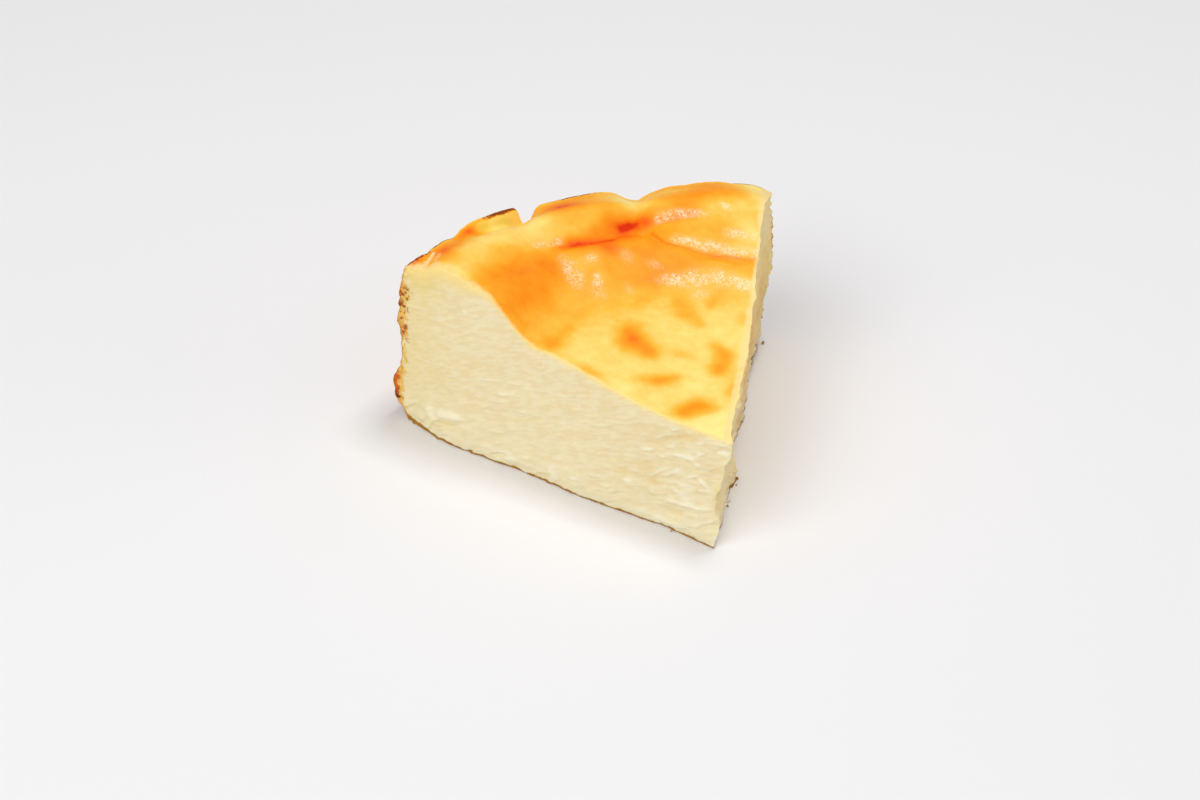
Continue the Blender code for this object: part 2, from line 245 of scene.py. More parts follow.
# Smears and hollows of the left cut: distance from the tip, height up, half length, half width, how the
# smear rises to the tip, relief, which also makes raised ones lighter and sunk ones darker in colour as
# painted highlight and shade
LEFT_CUT_SMEARS = (
    (81.8, 6.2, 1.8, 1.4, -0.20, 0.75),
    (75.5, 8.4, 3.9, 1.2, 0.15, 1.1),
    (75.6, 5.4, 3.6, 0.8, 0.15, -0.35),
    (73.4, 39.0, 1.0, 0.9, 0.0, 0.55),
    (65.2, 23.0, 3.4, 0.5, 0.28, 0.48),
    (60.8, 20.4, 3.0, 0.6, 0.28, 0.55),
    (61.5, 18.2, 3.4, 0.5, 0.35, 0.50),
    (58.6, 24.6, 1.5, 0.6, 0.2, 0.45),
    (55.0, 17.4, 1.8, 0.5, 0.3, 0.50),
    (47.0, 26.0, 5.0, 0.5, 0.2, 0.32),
    (40.0, 14.0, 4.5, 0.6, 0.3, 0.22),
    (34.0, 22.0, 3.6, 0.5, 0.25, 0.24),
    (24.8, 9.6, 1.4, 1.2, 0.1, 0.75),
    (20.4, 20.9, 1.9, 0.7, 0.3, 0.60),
    (17.5, 15.0, 2.0, 0.6, 0.95, 0.55),
    (10.9, 22.8, 3.4, 0.7, 0.22, 0.45),
    (6.4, 21.8, 1.5, 0.5, -0.25, 0.50),
    (4.6, 17.4, 1.9, 0.7, -0.60, 0.60),
    (9.0, 9.0, 5.5, 0.7, 0.2, 0.65),
    (14.0, 2.3, 11.0, 1.0, 0.02, 0.40),
    (12.0, 5.2, 3.2, 0.8, 0.2, -0.34),
    (26.8, 11.4, 2.2, 0.9, 0.1, -0.32),
    (18.0, 11.6, 3.0, 1.1, 0.1, -0.36),
    (6.0, 12.8, 2.6, 0.9, 0.3, -0.30),
    (0.2, 29.6, 0.8, 1.0, 0.0, 0.35),
    (0.8, 27.2, 1.0, 0.8, 0.4, 0.50),
    (2.8, 30.0, 1.4, 0.6, -0.4, 0.20),
)
# Yellower places of the left cut, stains by the crust and painted shade in the knife's hollows: distance
# from the tip, height, half length, half width, lean, strength
LEFT_CUT_YELLOW = (
    (89.4, 41.6, 1.6, 0.6, 45, 0.9),
    (90.6, 38.2, 1.4, 0.7, 60, 0.6),
    (86.0, 42.0, 3.6, 4.0, 0, 0.4),
    (77.0, 4.6, 4.6, 1.2, 0, 0.4),
    (27.0, 10.6, 2.0, 1.0, 0, 0.4),
    (18.0, 11.4, 3.0, 1.2, 0, 0.5),
    (13.0, 3.2, 3.4, 1.0, 0, 0.5),
    (0.6, 14.0, 1.2, 6.0, 0, 0.9),
)
# The yellow under the left cut's top edge: how far down it reaches and how strong it is, each at most
# places and at the rim, and between which distances from the tip they grow
UNDER_SKIN_REACH = (1.2, 6.0)
UNDER_SKIN_STRENGTH = (0.6, 0.9)
UNDER_SKIN_GROWS = (62, 82)
# How far the right cut is tinted tan, a painted warm shade of that cut face: at its foot, less so by the
# tip, at its top edge, and the heights between which the one passes into the other
SHADE_TINT_FOOT = 1.35
SHADE_TINT_FOOT_SHARE = (0.35, 1)
SHADE_TINT_FOOT_GROWS = (5, 50)
SHADE_TINT_TOP_EDGE = 0.68
SHADE_TINT_HEIGHTS = (20, 40)
# A tan tint by the chip of the tip: how far it reaches, and where up the cut it starts and ends
DRY_CHIP = 0.6
DRY_CHIP_REACH = (3, 12)
DRY_CHIP_STARTS = (2, 7)
DRY_CHIP_ENDS = (9, 18)

# Browning of the skin, 0 for pale and 1 for dark red: at the tip, and what is added between which
# distances from it
BROWNING_TIP = 0.04
BROWNING_RINGS = {"sunk middle": (0.20, 6, 24), "puffed ring": (0.27, 43, 60), "rim": (-0.20, 72, 78)}
# How the patches' outlines wander: wavelength and reach
BROWNING_WARP = (6.0, 0.8)
# How near each cut the knife stretched the skin thin, at most places and at the rim
SKIN_THIN_LEFT = (1.5, 6.5)
SKIN_THIN_RIGHT = (0.9, 3.6)
SKIN_THIN_GROWS = (62, 82)
# Browned and pale patches: x, y, half length, half width, lean in degrees, browning added
SKIN_PATCHES = (
    (-0.7, 15.3, 4.6, 3.0, 10, 0.55),
    (1.4, 12.2, 4.6, 1.8, 0, 0.20),
    (-4.6, 13.4, 2.4, 2.8, 40, 0.30),
    (3.0, 14.0, 3.0, 1.8, -20, 0.16),
    (10.8, 18.2, 4.2, 1.4, 57, 0.26),
    (-4.6, 26.5, 3.2, 2.4, 0, 0.42),
    (-0.8, 26.2, 2.6, 1.6, -8, 0.22),
    (-8.6, 28.4, 2.6, 1.8, 40, 0.08),
    (3.0, 21.6, 4.0, 2.0, 10, -0.10),
    (-4.3, 41.4, 3.0, 3.7, 0, 0.57),
    (-2.4, 36.2, 2.7, 2.8, 0, 0.42),
    (-7.6, 39.6, 2.2, 4.0, 0, 0.18),
    (-2.0, 44.0, 9.0, 8.0, 0, 0.05),
    (-3.0, 45.6, 3.6, 2.4, 0, 0.10),
    (10.6, 25.4, 2.5, 2.7, 0, 0.42),
    (14.3, 31.2, 1.9, 3.2, 12, 0.32),
    (13.4, 27.8, 3.0, 2.4, 57, 0.30),
    (4.2, 33.2, 3.0, 1.6, -40, 0.20),
    (7.3, 30.2, 1.8, 1.2, -40, 0.08),
    (10.8, 45.8, 2.8, 3.2, 0, 0.26),
    (13.3, 42.0, 2.0, 3.0, -10, 0.24),
    (12.6, 49.5, 2.2, 2.8, 0, 0.16),
    (20.0, 46.8, 3.4, 1.8, 30, 0.18),
    (23.4, 38.6, 2.6, 1.5, 57, 0.16),
    (-24.0, 44.4, 2.9, 2.9, 0, 0.32),
    (-19.2, 48.0, 3.2, 1.6, 40, 0.20),
    (-19.6, 33.6, 4.0, 1.8, -57, 0.26),
    (-14.8, 27.0, 3.4, 2.4, -57, -0.14),
    (-13.6, 53.2, 3.6, 1.8, 35, 0.12),
    (-30.5, 52.4, 4.0, 2.4, -57, 0.08),
    (-24.0, 64.0, 9.0, 7.4, 0, 0.29),
    (-33.0, 62.0, 5.0, 5.0, -57, 0.10),
    (-16.0, 67.5, 4.0, 4.0, 30, 0.16),
    (-27.5, 56.8, 5.0, 2.8, 18, 0.08),
    (-15.5, 58.5, 3.5, 3.0, 0, -0.10),
    (-40.2, 66.5, 5.0, 1.6, -57, -0.10),
    (-26.5, 72.4, 3.4, 1.8, 0, 0.18),
    (-10.5, 71.6, 4.8, 2.8, 8, 0.10),
    (-6.0, 74.0, 5.5, 1.8, 4, 0.34),
    (-3.0, 72.0, 4.8, 2.8, 0, 0.29),
    (3.4, 73.6, 5.4, 3.2, 0, 0.37),
    (11.0, 74.8, 5.6, 2.6, -6, 0.34),
    (9.5, 70.4, 5.2, 3.2, -10, 0.10),
    (8.2, 77.1, 7.5, 1.5, 0, 0.24),
    (12.2, 77.1, 4.8, 1.0, -3, 0.25),
    (17.6, 73.2, 3.6, 2.2, -25, 0.16),
    (15.0, 69.0, 3.0, 3.2, 0, 0.04),
    (1.4, 68.4, 3.6, 2.6, 0, 0.28),
    (10.0, 65.5, 6.5, 4.4, 0, 0.20),
    (10.0, 58.8, 8.0, 2.6, -5, 0.20),
    (18.0, 60.4, 6.0, 3.0, -20, 0.16),
    (0.0, 65.0, 5.0, 4.0, 0, 0.06),
    (3.6, 53.4, 3.4, 1.8, 28, 0.12),
    (26.0, 59.2, 5.4, 2.4, -35, 0.14),
    (33.5, 55.6, 3.2, 1.8, -50, 0.04),
    (31.4, 77.8, 9.0, 4.6, -16, 0.42),
    (24.4, 74.6, 5.2, 3.2, -25, 0.28),
    (38.4, 73.6, 4.2, 3.0, -20, 0.12),
    (20.5, 79.6, 3.4, 3.0, 0, 0.10),
    (30.0, 67.8, 6.0, 2.6, -25, 0.06),
    (45.0, 72.0, 3.0, 5.0, -25, -0.12),
    (-16.0, 82.0, 4.0, 6.0, 0, -0.08),
    # The next three make the skin paler where it glitters: a painted highlight
    (37.4, 62.0, 5.0, 2.2, -40, -0.30),
    (34.6, 58.8, 4.0, 1.8, -40, -0.18),
    (29.4, 48.0, 3.6, 2.2, -57, -0.16),
    (-5.4, 86.3, 6.4, 4.0, 0, 0.52),
    (0.5, 84.6, 6.2, 4.6, 0, 0.26),
    (8.0, 80.0, 9.0, 2.6, 0, 0.16),
    (7.0, 84.6, 4.0, 4.0, 0, 0.10),
    (13.4, 84.6, 3.0, 5.0, 0, -0.22),
    (26.0, 84.4, 6.0, 2.2, -12, -0.14),
    (-13.0, 83.0, 3.6, 4.4, 0, -0.10),
    (-6.0, 79.4, 4.0, 2.0, 0, 0.12),
    (-27.0, 74.6, 5.0, 4.0, 20, -0.08),
    (-38.0, 80.0, 4.4, 3.0, 35, 0.48),
    (-39.6, 75.6, 2.8, 3.4, -20, 0.34),
    (-30.4, 84.2, 5.0, 2.4, 30, 0.44),
    (-26.6, 86.4, 3.6, 1.6, 18, 0.20),
    (-33.5, 79.4, 3.6, 2.4, 0, 0.12),
    (-46.4, 78.2, 3.8, 2.4, 32, 0.50),
    (-42.5, 74.0, 2.6, 1.4, -57, 0.16),
)
# Browned lines along the folds: half width, browning added, then points of (x, y)
SKIN_LINES = (
    (0.8, 0.08, ((8.2, 77.2), (10.4, 77.3), (12.6, 77.2), (15.2, 76.6))),
    (0.9, 0.22, ((15.0, 76.3), (18.2, 75.4), (23.1, 73.2), (26.6, 71.4))),
    (1.4, 0.06, ((-9.0, 74.9), (-3.0, 75.1), (1.0, 75.8))),
    (1.6, 0.06, ((-33.0, 54.6), (-28.0, 56.5), (-24.0, 58.2), (-19.5, 59.2))),
    (0.5, 0.22, ((15.2, 73.2), (16.0, 68.0), (20.7, 64.2), (26.4, 60.4), (33.2, 56.9), (36.4, 56.5))),
)
# Where the skin is oily and pimply enough to glitter, which makes it smoother and more pimply and paints
# pale highlight specks into its colour: as the patches, then as the lines
SHINE_PATCHES = (
    (-10.5, 64.0, 2.6, 3.4, 0, 1.0),
    (-4.6, 62.0, 1.6, 1.1, 45, 1.3),
    (-4.5, 67.0, 2.2, 1.2, 20, 0.9),
    (-11.5, 68.6, 1.6, 1.1, 40, 0.6),
    (-5.5, 58.4, 2.2, 2.5, 0, 0.5),
    (4.8, 66.0, 2.0, 2.5, 0, 0.4),
    (10.8, 62.0, 2.2, 1.2, -30, 0.5),
    (2.0, 57.5, 1.2, 2.4, 0, 0.4),
    (13.5, 57.0, 4.0, 1.8, -20, 0.9),
    (18.6, 55.0, 4.0, 2.4, -35, 0.9),
    (24.5, 52.5, 3.4, 2.0, -45, 0.9),
    (28.5, 48.6, 3.0, 1.8, -50, 1.0),
    (17.5, 50.6, 3.0, 2.0, 0, 0.5),
    (33.7, 70.0, 1.5, 0.8, -60, 1.1),
    (28.5, 70.2, 1.0, 0.7, 0, 0.5),
)
SHINE_LINES = (
    (0.8, 1.0, ((-16.5, 73.6), (-13.0, 74.4), (-8.5, 75.5))),
    (0.9, 1.1, ((18.0, 75.8), (21.5, 74.6), (24.0, 73.0), (27.0, 71.3))),
    (1.5, 1.0, ((19.5, 68.0), (23.0, 65.2), (28.0, 61.8), (32.0, 59.5), (36.6, 57.6))),
    (1.0, 0.9, ((31.5, 64.6), (34.0, 63.2), (37.2, 61.3))),
)
# Torn skin, where pale crumb shows: half width, strength, then points of (x, y)
TORN_LINES = (
    (0.8, 1.0, ((-40.6, 80.4), (-42.4, 78.4), (-44.4, 76.4), (-46.4, 74.0))),
    (0.6, 0.8, ((-40.1, 77.8), (-42.6, 74.8))),
    (1.0, 1.1, ((50.0, 79.0), (48.6, 75.0), (45.6, 70.0), (42.0, 65.6))),
)
# Marks at the rim: turn, distance from the wall, half width in degrees, half width in mm, strength
RIM_BROWNING = (
    (13.6, 2.0, 1.9, 2.2, 0.10),
    (20.5, 1.1, 3.0, 0.7, 0.60),
    (19.0, 2.6, 3.4, 1.2, -0.30),
    (35.0, 1.5, 5.0, 2.2, 0.20),
    (50.0, 1.8, 8.0, 2.6, 0.25),
    (54.5, 2.5, 5.0, 2.2, 0.12),
    (3.5, 0.8, 4.0, 1.4, 0.12),
    (63.0, 2.5, 2.2, 3.0, -0.22),
)
RIM_SCORCH = (
    (21.2, 0.2, 3.0, 1.2, 1.8),
    (34.0, 0.0, 4.5, 0.5, 1.2),
    (62.0, 0.0, 3.0, 0.35, 1.4),
    (2.5, 0.0, 3.5, 0.9, 1.0),
    (9.0, 0.0, 3.5, 0.4, 1.0),
)
# Moist yellow-green skin behind the lip and at its left end
RIM_GREEN = (
    (16.7, 2.4, 1.5, 1.1, 0.8),
    (20.6, 2.8, 2.8, 1.6, 0.85),
)

# A loose crumb: how far it is stretched, where in the noise its shape is found, how uneven it is, and
# the wavelength of that as a share of its width
CRUMB_STRETCH = (0.6, 1.3)
CRUMB_NOISE = (0, 90)
CRUMB_UNEVENNESS = 0.5
CRUMB_WAVELENGTH = 0.45


def linear(*srgb):
    """Scene linear colour of an sRGB one given as 0 to 255."""
    shares = [value / 255 for value in srgb]
    return tuple(s / 12.92 if s <= 0.04045 else ((s + 0.055) / 1.055) ** 2.4 for s in shares)


def colour_property(name, description, *srgb):
    """A colour that a user can change."""
    return FloatVectorProperty(
        name=name, description=description, default=linear(*srgb), subtype="COLOR", min=0, max=1)


def length_property(name, description, millimetres):
    """A length that a user can change, kept in metres."""
    return FloatProperty(
        name=name, description=description, default=millimetres * MM, unit="LENGTH", precision=4)


def angle_property(name, description, degrees):
    """An angle that a user can change, kept in radians."""
    return FloatProperty(name=name, description=description, default=math.radians(degrees), subtype="ANGLE")


def power_property(name, description, watts):
    """A light's power that a user can change."""
    return FloatProperty(name=name, description=description, default=watts, unit="POWER")


class CakeSizes(PropertyGroup):
    """Driving sizes of the slice and of its lattice."""

    cake_radius: length_property("Cake radius", "Radius of the whole cake", 92.6)
    wedge_angle: angle_property("Wedge angle", "Angle between the two cuts", 65.3)
    centre_height: length_property("Centre height", "Height of the sunk middle", 31.3)
    crest_height: length_property("Crest height", "Height of the puffed ring", 47.4)
    rim_drop: length_property("Rim drop", "How far the top falls from the ring to the rim", 3.3)
    rows: IntProperty(name="Rows", description="Rows of the lattice from tip to rim", default=196, min=8)
    tiers: IntProperty(name="Tiers", description="Tiers of the lattice from base to top", default=118, min=4)


class SkinColours(PropertyGroup):
    """Colours of the skin, from pale to scorched."""

    pale: colour_property("Pale", "Skin that hardly browned", 253, 234, 149)
    straw: colour_property("Straw", "Skin of the sunk middle", 253, 219, 122)
    amber: colour_property("Amber", "Lightly browned skin", 253, 186, 62)
    apricot: colour_property("Apricot", "Skin of the ring", 252, 164, 31)
    orange: colour_property("Orange", "Browned patches", 251, 146, 14)
    rust: colour_property("Rust", "Well browned skin before the folds", 246, 112, 8)
    ember: colour_property("Ember", "Darkest browning in the folds", 222, 52, 5)
    scorched: colour_property("Scorched", "Thin dark edge of the rim", 138, 62, 10)
    torn: colour_property("Torn", "Crumb that shows where the skin is torn", 250, 216, 148)
    stretched: colour_property("Stretched", "Skin that the knife stretched thin by a cut", 253, 218, 150)
    green: colour_property("Green", "Moist yellow-green skin behind the lip", 230, 198, 74)
    # Painted highlight: pale specks laid into the skin's colour where it is oily
    painted_glint: colour_property("Glint", "Pimples of the oily skin", 255, 234, 196)


class CheeseColours(PropertyGroup):
    """Colours of the cut cheese and of the crust round it."""

    cream: colour_property("Cream", "Cut cheese", 240, 223, 179)
    # Smear is paler cheese laid on raised relief and light streaks, partly a painted highlight; hollow is
    # laid in sunk relief and dark streaks as painted shade
    smear_and_highlight: colour_property("Smear", "Raised smears on the cuts", 252, 243, 212)
    hollow: colour_property("Hollow", "Hollows of the cuts", 237, 212, 150)
    # In the knife's hollows this yellow is painted shade
    yellow: colour_property("Yellow", "Yellower cheese by the crust and in the hollows", 234, 212, 128)
    under_skin: colour_property("Under the skin", "Cheese just under the skin", 253, 222, 140)
    # Tan tint laid on the right cut as painted warm shade, and by the chip of the tip
    dry: colour_property("Dry", "Cheese that has dried and tanned", 255, 220, 142)
    tan: colour_property("Crust tan", "Baked crust at the wall", 216, 150, 66)
    pale_tan: colour_property("Crust pale tan", "Crust that hardly baked", 218, 190, 110)
    golden: colour_property("Crust golden", "Inner side of the crust", 236, 192, 100)
    peach: colour_property("Crust peach", "Crust over the foot", 238, 176, 96)
    rust: colour_property("Crust rust", "Swollen crust over the foot", 212, 100, 16)
    ember: colour_property("Crust ember", "Burnt spots of the crust", 128, 40, 4)
    brown: colour_property("Crust brown", "Well baked crust at the foot", 174, 122, 42)
    dark: colour_property("Crust dark", "Dark crumbs of the crust", 158, 58, 0)
    edge: colour_property("Wall edge", "Browned top edge of the wall", 240, 148, 46)


class CrumbSizes(PropertyGroup):
    """Loose crumbs round the foot of the cuts."""

    count: IntProperty(name="Count", description="Number of crumbs", default=5, min=0)
    smallest: length_property("Smallest", "Width of the smallest crumb", 0.3)
    largest: length_property("Largest", "Width of the largest crumb", 0.7)
    spread: length_property("Spread", "How far from a cut the crumbs lie", 1.5)
    seed: IntProperty(name="Seed", description="Start of the random draw", default=7)


class StageSettings(PropertyGroup):
    """Floor, lights and camera."""

    floor: colour_property("Floor", "Plain pale floor", 235, 234, 235)
    floor_size: length_property("Floor size", "Side of the square floor", 6000)
    sky_strength: FloatProperty(
        name="Sky strength", description="Brightness of the even surroundings", default=0.33)
    overhead_power: power_property("Overhead power", "Soft light over the slice", 3.7)
    side_power: power_property("Side power", "Soft light from the left", 9.5)
    fill_power: power_property("Fill power", "Weak soft light from the right", 1.0)
    lens: FloatProperty(
        name="Lens", description="Focal length in mm", default=128.07, subtype="DISTANCE_CAMERA")
    camera_turn: angle_property("Camera turn", "Turn round the slice", -26.60)
    camera_tilt: angle_property("Camera tilt", "Height above the horizon", 35.06)
    camera_roll: angle_property("Camera roll", "Roll about the view", 3.23)


def ramp(value, low, high):
    """0 below low, 1 above high, and a smooth S between them."""
    share = min(max((value - low) / (high - low), 0.0), 1.0)
    return share * share * (3 - 2 * share)


def bump(value, middle, half_width):
    """A bell of height 1 round a middle."""
    return math.exp(-(((value - middle) / half_width) ** 2))


def blend(ends, share):
    """The value that lies a share of the way from the first of two ends to the second."""
    return ends[0] + (ends[1] - ends[0]) * share


def row_at(rows, at):
    """The values of a table at a place, blended between the rows before and after it."""
    for before, after in zip(rows, rows[1:]):
        if at <= after[0]:
            break
    share = ramp(at, before[0], after[0])
    return [blend(ends, share) for ends in zip(before[1:], after[1:])]


def waves(place, layer):
    """Smooth unevenness of the solid, different for each layer number."""
    total = 0.0
    for index, (length, height) in enumerate(WAVES):
        shift = [number * step for number, step in zip((layer, index, layer), WAVE_SHIFTS)]
        total += height * noise.noise(place / length + Vector(shift))
    return total


def wrinkles(along, across, layers, start):
    """Sum of some layers of fine noise, found from a start in it on."""
    total = 0.0
    for index, (length, width, height) in enumerate(layers):
        total += height * noise.noise(Vector((along / length, across / width, start + index)))
    return total


def nearest_on_line(x, y, points, reach):
    """Distance from a place to a line of points, and the last value of the points there, within reach."""
    nearest = reach
    value = None
    for start, end in zip(points, points[1:]):
        along_x, along_y = end[0] - start[0], end[1] - start[1]
        offset_x, offset_y = x - start[0], y - start[1]
        share = (offset_x * along_x + offset_y * along_y) / (along_x * along_x + along_y * along_y)
        share = min(max(share, 0.0), 1.0)
        distance = math.hypot(offset_x - along_x * share, offset_y - along_y * share)
        if distance < nearest:
            nearest = distance
            value = blend((start[-1], end[-1]), share)
    return nearest, value


def patches_at(x, y, patches):
    """Sum of the leaning bells of some patches at a place."""
    total = 0.0
    for middle_x, middle_y, half_length, half_width, lean, strength in patches:
        offset_x, offset_y = x - middle_x, y - middle_y
        reach = BELL_REACH * max(half_length, half_width)
        if abs(offset_x) > reach or abs(offset_y) > reach:
            continue
        cosine, sine = math.cos(math.radians(lean)), math.sin(math.radians(lean))
        along = (offset_x * cosine + offset_y * sine) / half_length
        across = (offset_y * cosine - offset_x * sine) / half_width
        total += strength * math.exp(-(along * along + across * across))
    return total


def lines_at(x, y, lines):
    """Sum of the bells across some lines at a place."""
    total = 0.0
    for half_width, strength, points in lines:
        distance, _ = nearest_on_line(x, y, points, BELL_REACH * half_width)
        total += strength * bump(distance, 0, half_width)
    return total


def rim_marks_at(turn, wall_gap, marks):
    """Sum of the bells of some marks at the rim."""
    total = 0.0
    for mark_turn, mark_gap, half_turn, half_width, strength in marks:
        total += strength * bump(turn, mark_turn, half_turn) * bump(wall_gap, mark_gap, half_width)
    return total


class SliceShape:
    """The surface of the slice in mm: the form of its solid with the fine relief laid over it."""

    def __init__(self, sizes):
        self.radius = sizes.cake_radius / MM
        self.angle = math.degrees(sizes.wedge_angle)
        self.half_angle = sizes.wedge_angle / 2
        self.centre_height = sizes.centre_height / MM
        self.crest_height = sizes.crest_height / MM
        self.rim_drop = sizes.rim_drop / MM
        sine, cosine = math.sin(self.half_angle), math.cos(self.half_angle)
        self.left_along = Vector((-sine, cosine, 0))
        self.left_normal = Vector((-cosine, -sine, 0))
        self.right_along = Vector((sine, cosine, 0))
        self.right_normal = Vector((cosine, -sine, 0))
        self.known_heights = {}

    def turn_of(self, x, y):
        """Turn of a place round the tip."""
        return min(max(math.degrees(math.atan2(x, y) + self.half_angle), 0.0), self.angle)

    def lip_share(self, turn, torn):
        """How much of the standing lip there is at a turn, torn off between two turns."""
        return ramp(turn, *LIP_RISES) * (1 - ramp(turn, *torn))

    def top_height(self, x, y):
        """Height of the browned top over a place, worked out once for each place."""
        if (x, y) not in self.known_heights:
            fine = wrinkles(x, y, SKIN_WRINKLES, SKIN_NOISE)
            self.known_heights[x, y] = self.solid_top_height(x, y) + fine
        return self.known_heights[x, y]

    def solid_top_height(self, x, y):
        """Height of the solid's top over a place."""
        radius, turn = math.hypot(x, y), self.turn_of(x, y)
        slow_rise, first_start, first_end, first_rise, second_start, second_end = row_at(TOP_STATIONS, turn)
        second_rise = self.crest_height - self.centre_height - slow_rise - first_rise
        height = self.centre_height + slow_rise * ramp(radius, *SLOW_RISE)
        height += first_rise * ramp(radius, first_start, first_end)
        height += second_rise * ramp(radius, second_start, second_end)
        height -= self.rim_drop * ramp(radius, *RIM_DROPS)
        for middle_x, middle_y, reach, swelling in TOP_SWELLINGS:
            height += swelling * bump(math.hypot(x - middle_x, y - middle_y), 0, reach)
        lip_there = self.lip_share(turn, LIP_TOP_TORN)
        lip = lip_there * ramp(radius, *LIP_FACE)
        for half_width, points in TOP_CREASES.values():
            distance, depth = nearest_on_line(x, y, points, BELL_REACH * half_width)
            if depth is not None:
                height -= depth * bump(distance, 0, half_width) * (1 - lip)
        height -= TROUGH_DEPTH * lip_there * bump(radius, *TROUGH_AT)
        height += LIP_HEIGHT * lip
        return height + TOP_WAVE_SHARE * waves(Vector((x, y, 0)), 1)

    def wall_radius(self, turn, z, edge_height):
        """Radius of the outer wall at a turn and a height, under a top edge of the given height."""
        share_up = z / edge_height
        radius = self.radius
        clear_of_lip = 1 - self.lip_share(turn, LIP_WALL_TORN)
        for top_turn, half_width, top_depth, base_depth, lean in WALL_PLEATS:
            middle = top_turn + lean * (1 - share_up)
            depth = blend((base_depth, top_depth * clear_of_lip), ramp(share_up, PLEAT_BASE_SHARE, 1))
            radius -= depth * max(0.0, 1 - abs(turn - middle) / half_width) ** PLEAT_SHARPNESS
        radius += blend(FOOT_BULGE, ramp(turn, *FOOT_BULGE_TURNS)) * bump(z, *FOOT_BULGE_AT)
        radius -= WAIST_DEPTH * bump(z, *WAIST_AT)
        radius += CHEST_SWELL * bump(z, *CHEST_AT)
        radius -= FOOT_ROUNDING * (1 - ramp(z, *FOOT_ROUNDS))
        radius -= SHOULDER_ROUNDING * ramp(z - edge_height, *SHOULDER_FROM_EDGE) * clear_of_lip
        return radius + waves(Vector((math.radians(turn) * self.radius, 0, z)), 2)

    def left_cut_offset(self, out, z, height):
        """How far the left cut face stands out at a distance from the tip and a height up."""
        belly = blend(LEFT_BELLY, ramp(out, *LEFT_BELLY_GROWS))
        belly += LEFT_RIM_BELLY * bump(out, *LEFT_RIM_BELLY_AT)
        belly *= 1 - ramp(out, *LEFT_BELLY_ENDS)
        return belly * (1 - (z / height) ** LEFT_BELLY_POWER) + waves(Vector((out, 0, z)), 3)

    def right_cut_offset(self, out, z, height):
        """How far the right cut face stands out at a distance from the tip and a height up."""
        lean = RIGHT_LEAN - RIGHT_TUCK * ramp(out, *RIGHT_TUCK_GROWS)
        lean += RIGHT_FLARE * ramp(out, *RIGHT_FLARE_GROWS)
        offset = lean * z / height
        offset += RIGHT_BELLY * ramp(out, *RIGHT_BELLY_GROWS) * bump(z, *RIGHT_BELLY_AT)
        for stands_out, middle, half_width, low, high in RIGHT_FOOT_FORMS.values():
            offset += stands_out * bump(out, middle, half_width) * (1 - ramp(z, low, high))
        return offset + waves(Vector((out, 0, z)), 4)

    def cut_relief(self, out, z, side):
        """Relief of a cut face: dragged streaks that rise to the tip, torn curd, smears and hollows."""
        across = z + STREAK_RISE * out
        total = 0.0
        for length, width, height in KNIFE_STREAKS:
            streak = Vector((out / length, across / width, side * STREAK_NOISE + length))
            total += height * noise.noise(streak)
        length, width, height = CURD_TEAR
        tear = noise.noise(Vector((out / length, across / width, side * TEAR_NOISE)))
        total += height * ramp(tear, *CURD_TEAR_EDGE)
        sunk = ramp(out, *CUT_RELIEF_FROM_TIP) * ramp(z, *CUT_RELIEF_FROM_FOOT)
        total *= 1 + CUT_RELIEF_GROWTH * (1 - sunk)
        if side == RIGHT:
            return total * blend(RIGHT_CUT_RELIEF, ramp(out, *RIGHT_CUT_RELIEF_GROWS))
        for smear_out, smear_z, half_length, half_width, rise, height in LEFT_CUT_SMEARS:
            off_line = z - smear_z + rise * (out - smear_out)
            total += height * bump(out, smear_out, half_length) * bump(off_line, 0, half_width)
        return total

    def tan_and_shade_tint(self, out, z):
        """How far the right cut is tinted tan: along its foot and up it as painted warm shade, and by the
        chip of the tip.
        """
        foot = SHADE_TINT_FOOT * blend(SHADE_TINT_FOOT_SHARE, ramp(out, *SHADE_TINT_FOOT_GROWS))
        by_chip = DRY_CHIP * (1 - ramp(out, *DRY_CHIP_REACH))
        by_chip *= ramp(z, *DRY_CHIP_STARTS) * (1 - ramp(z, *DRY_CHIP_ENDS))
        return max(by_chip, blend((foot, SHADE_TINT_TOP_EDGE), ramp(z, *SHADE_TINT_HEIGHTS)))

    def crust_crumbs(self, place, wall_gap):
        """Crumbly relief of the crust, fading with the distance from the wall."""
        length, height, depth = CRUST_CRUMBS
        return height * noise.noise(place / length) * (1 - ramp(wall_gap, 0, depth))

    def tip_shift(self, out, z):
        """Shift of the ragged edge where the two cuts meet, which fades away from the tip."""
        crumble = TIP_CRUMBLE * (1 - ramp(out, 0, TIP_CRUMBLE_REACH))
        step = z / TIP_CRUMBLE_LENGTH
        across = crumble * noise.noise(Vector((*TIP_NOISE, step)))
        back = crumble * (TIP_CRUMBLE_SETBACK + noise.noise(Vector((*TIP_BACK_NOISE, step))))
        setback, right = row_at(TIP_EDGE, z)
        fade = 1 - ramp(out, 0, TIP_EDGE_REACH)
        return Vector((across + right * fade, back, 0)) + self.left_along * setback * fade

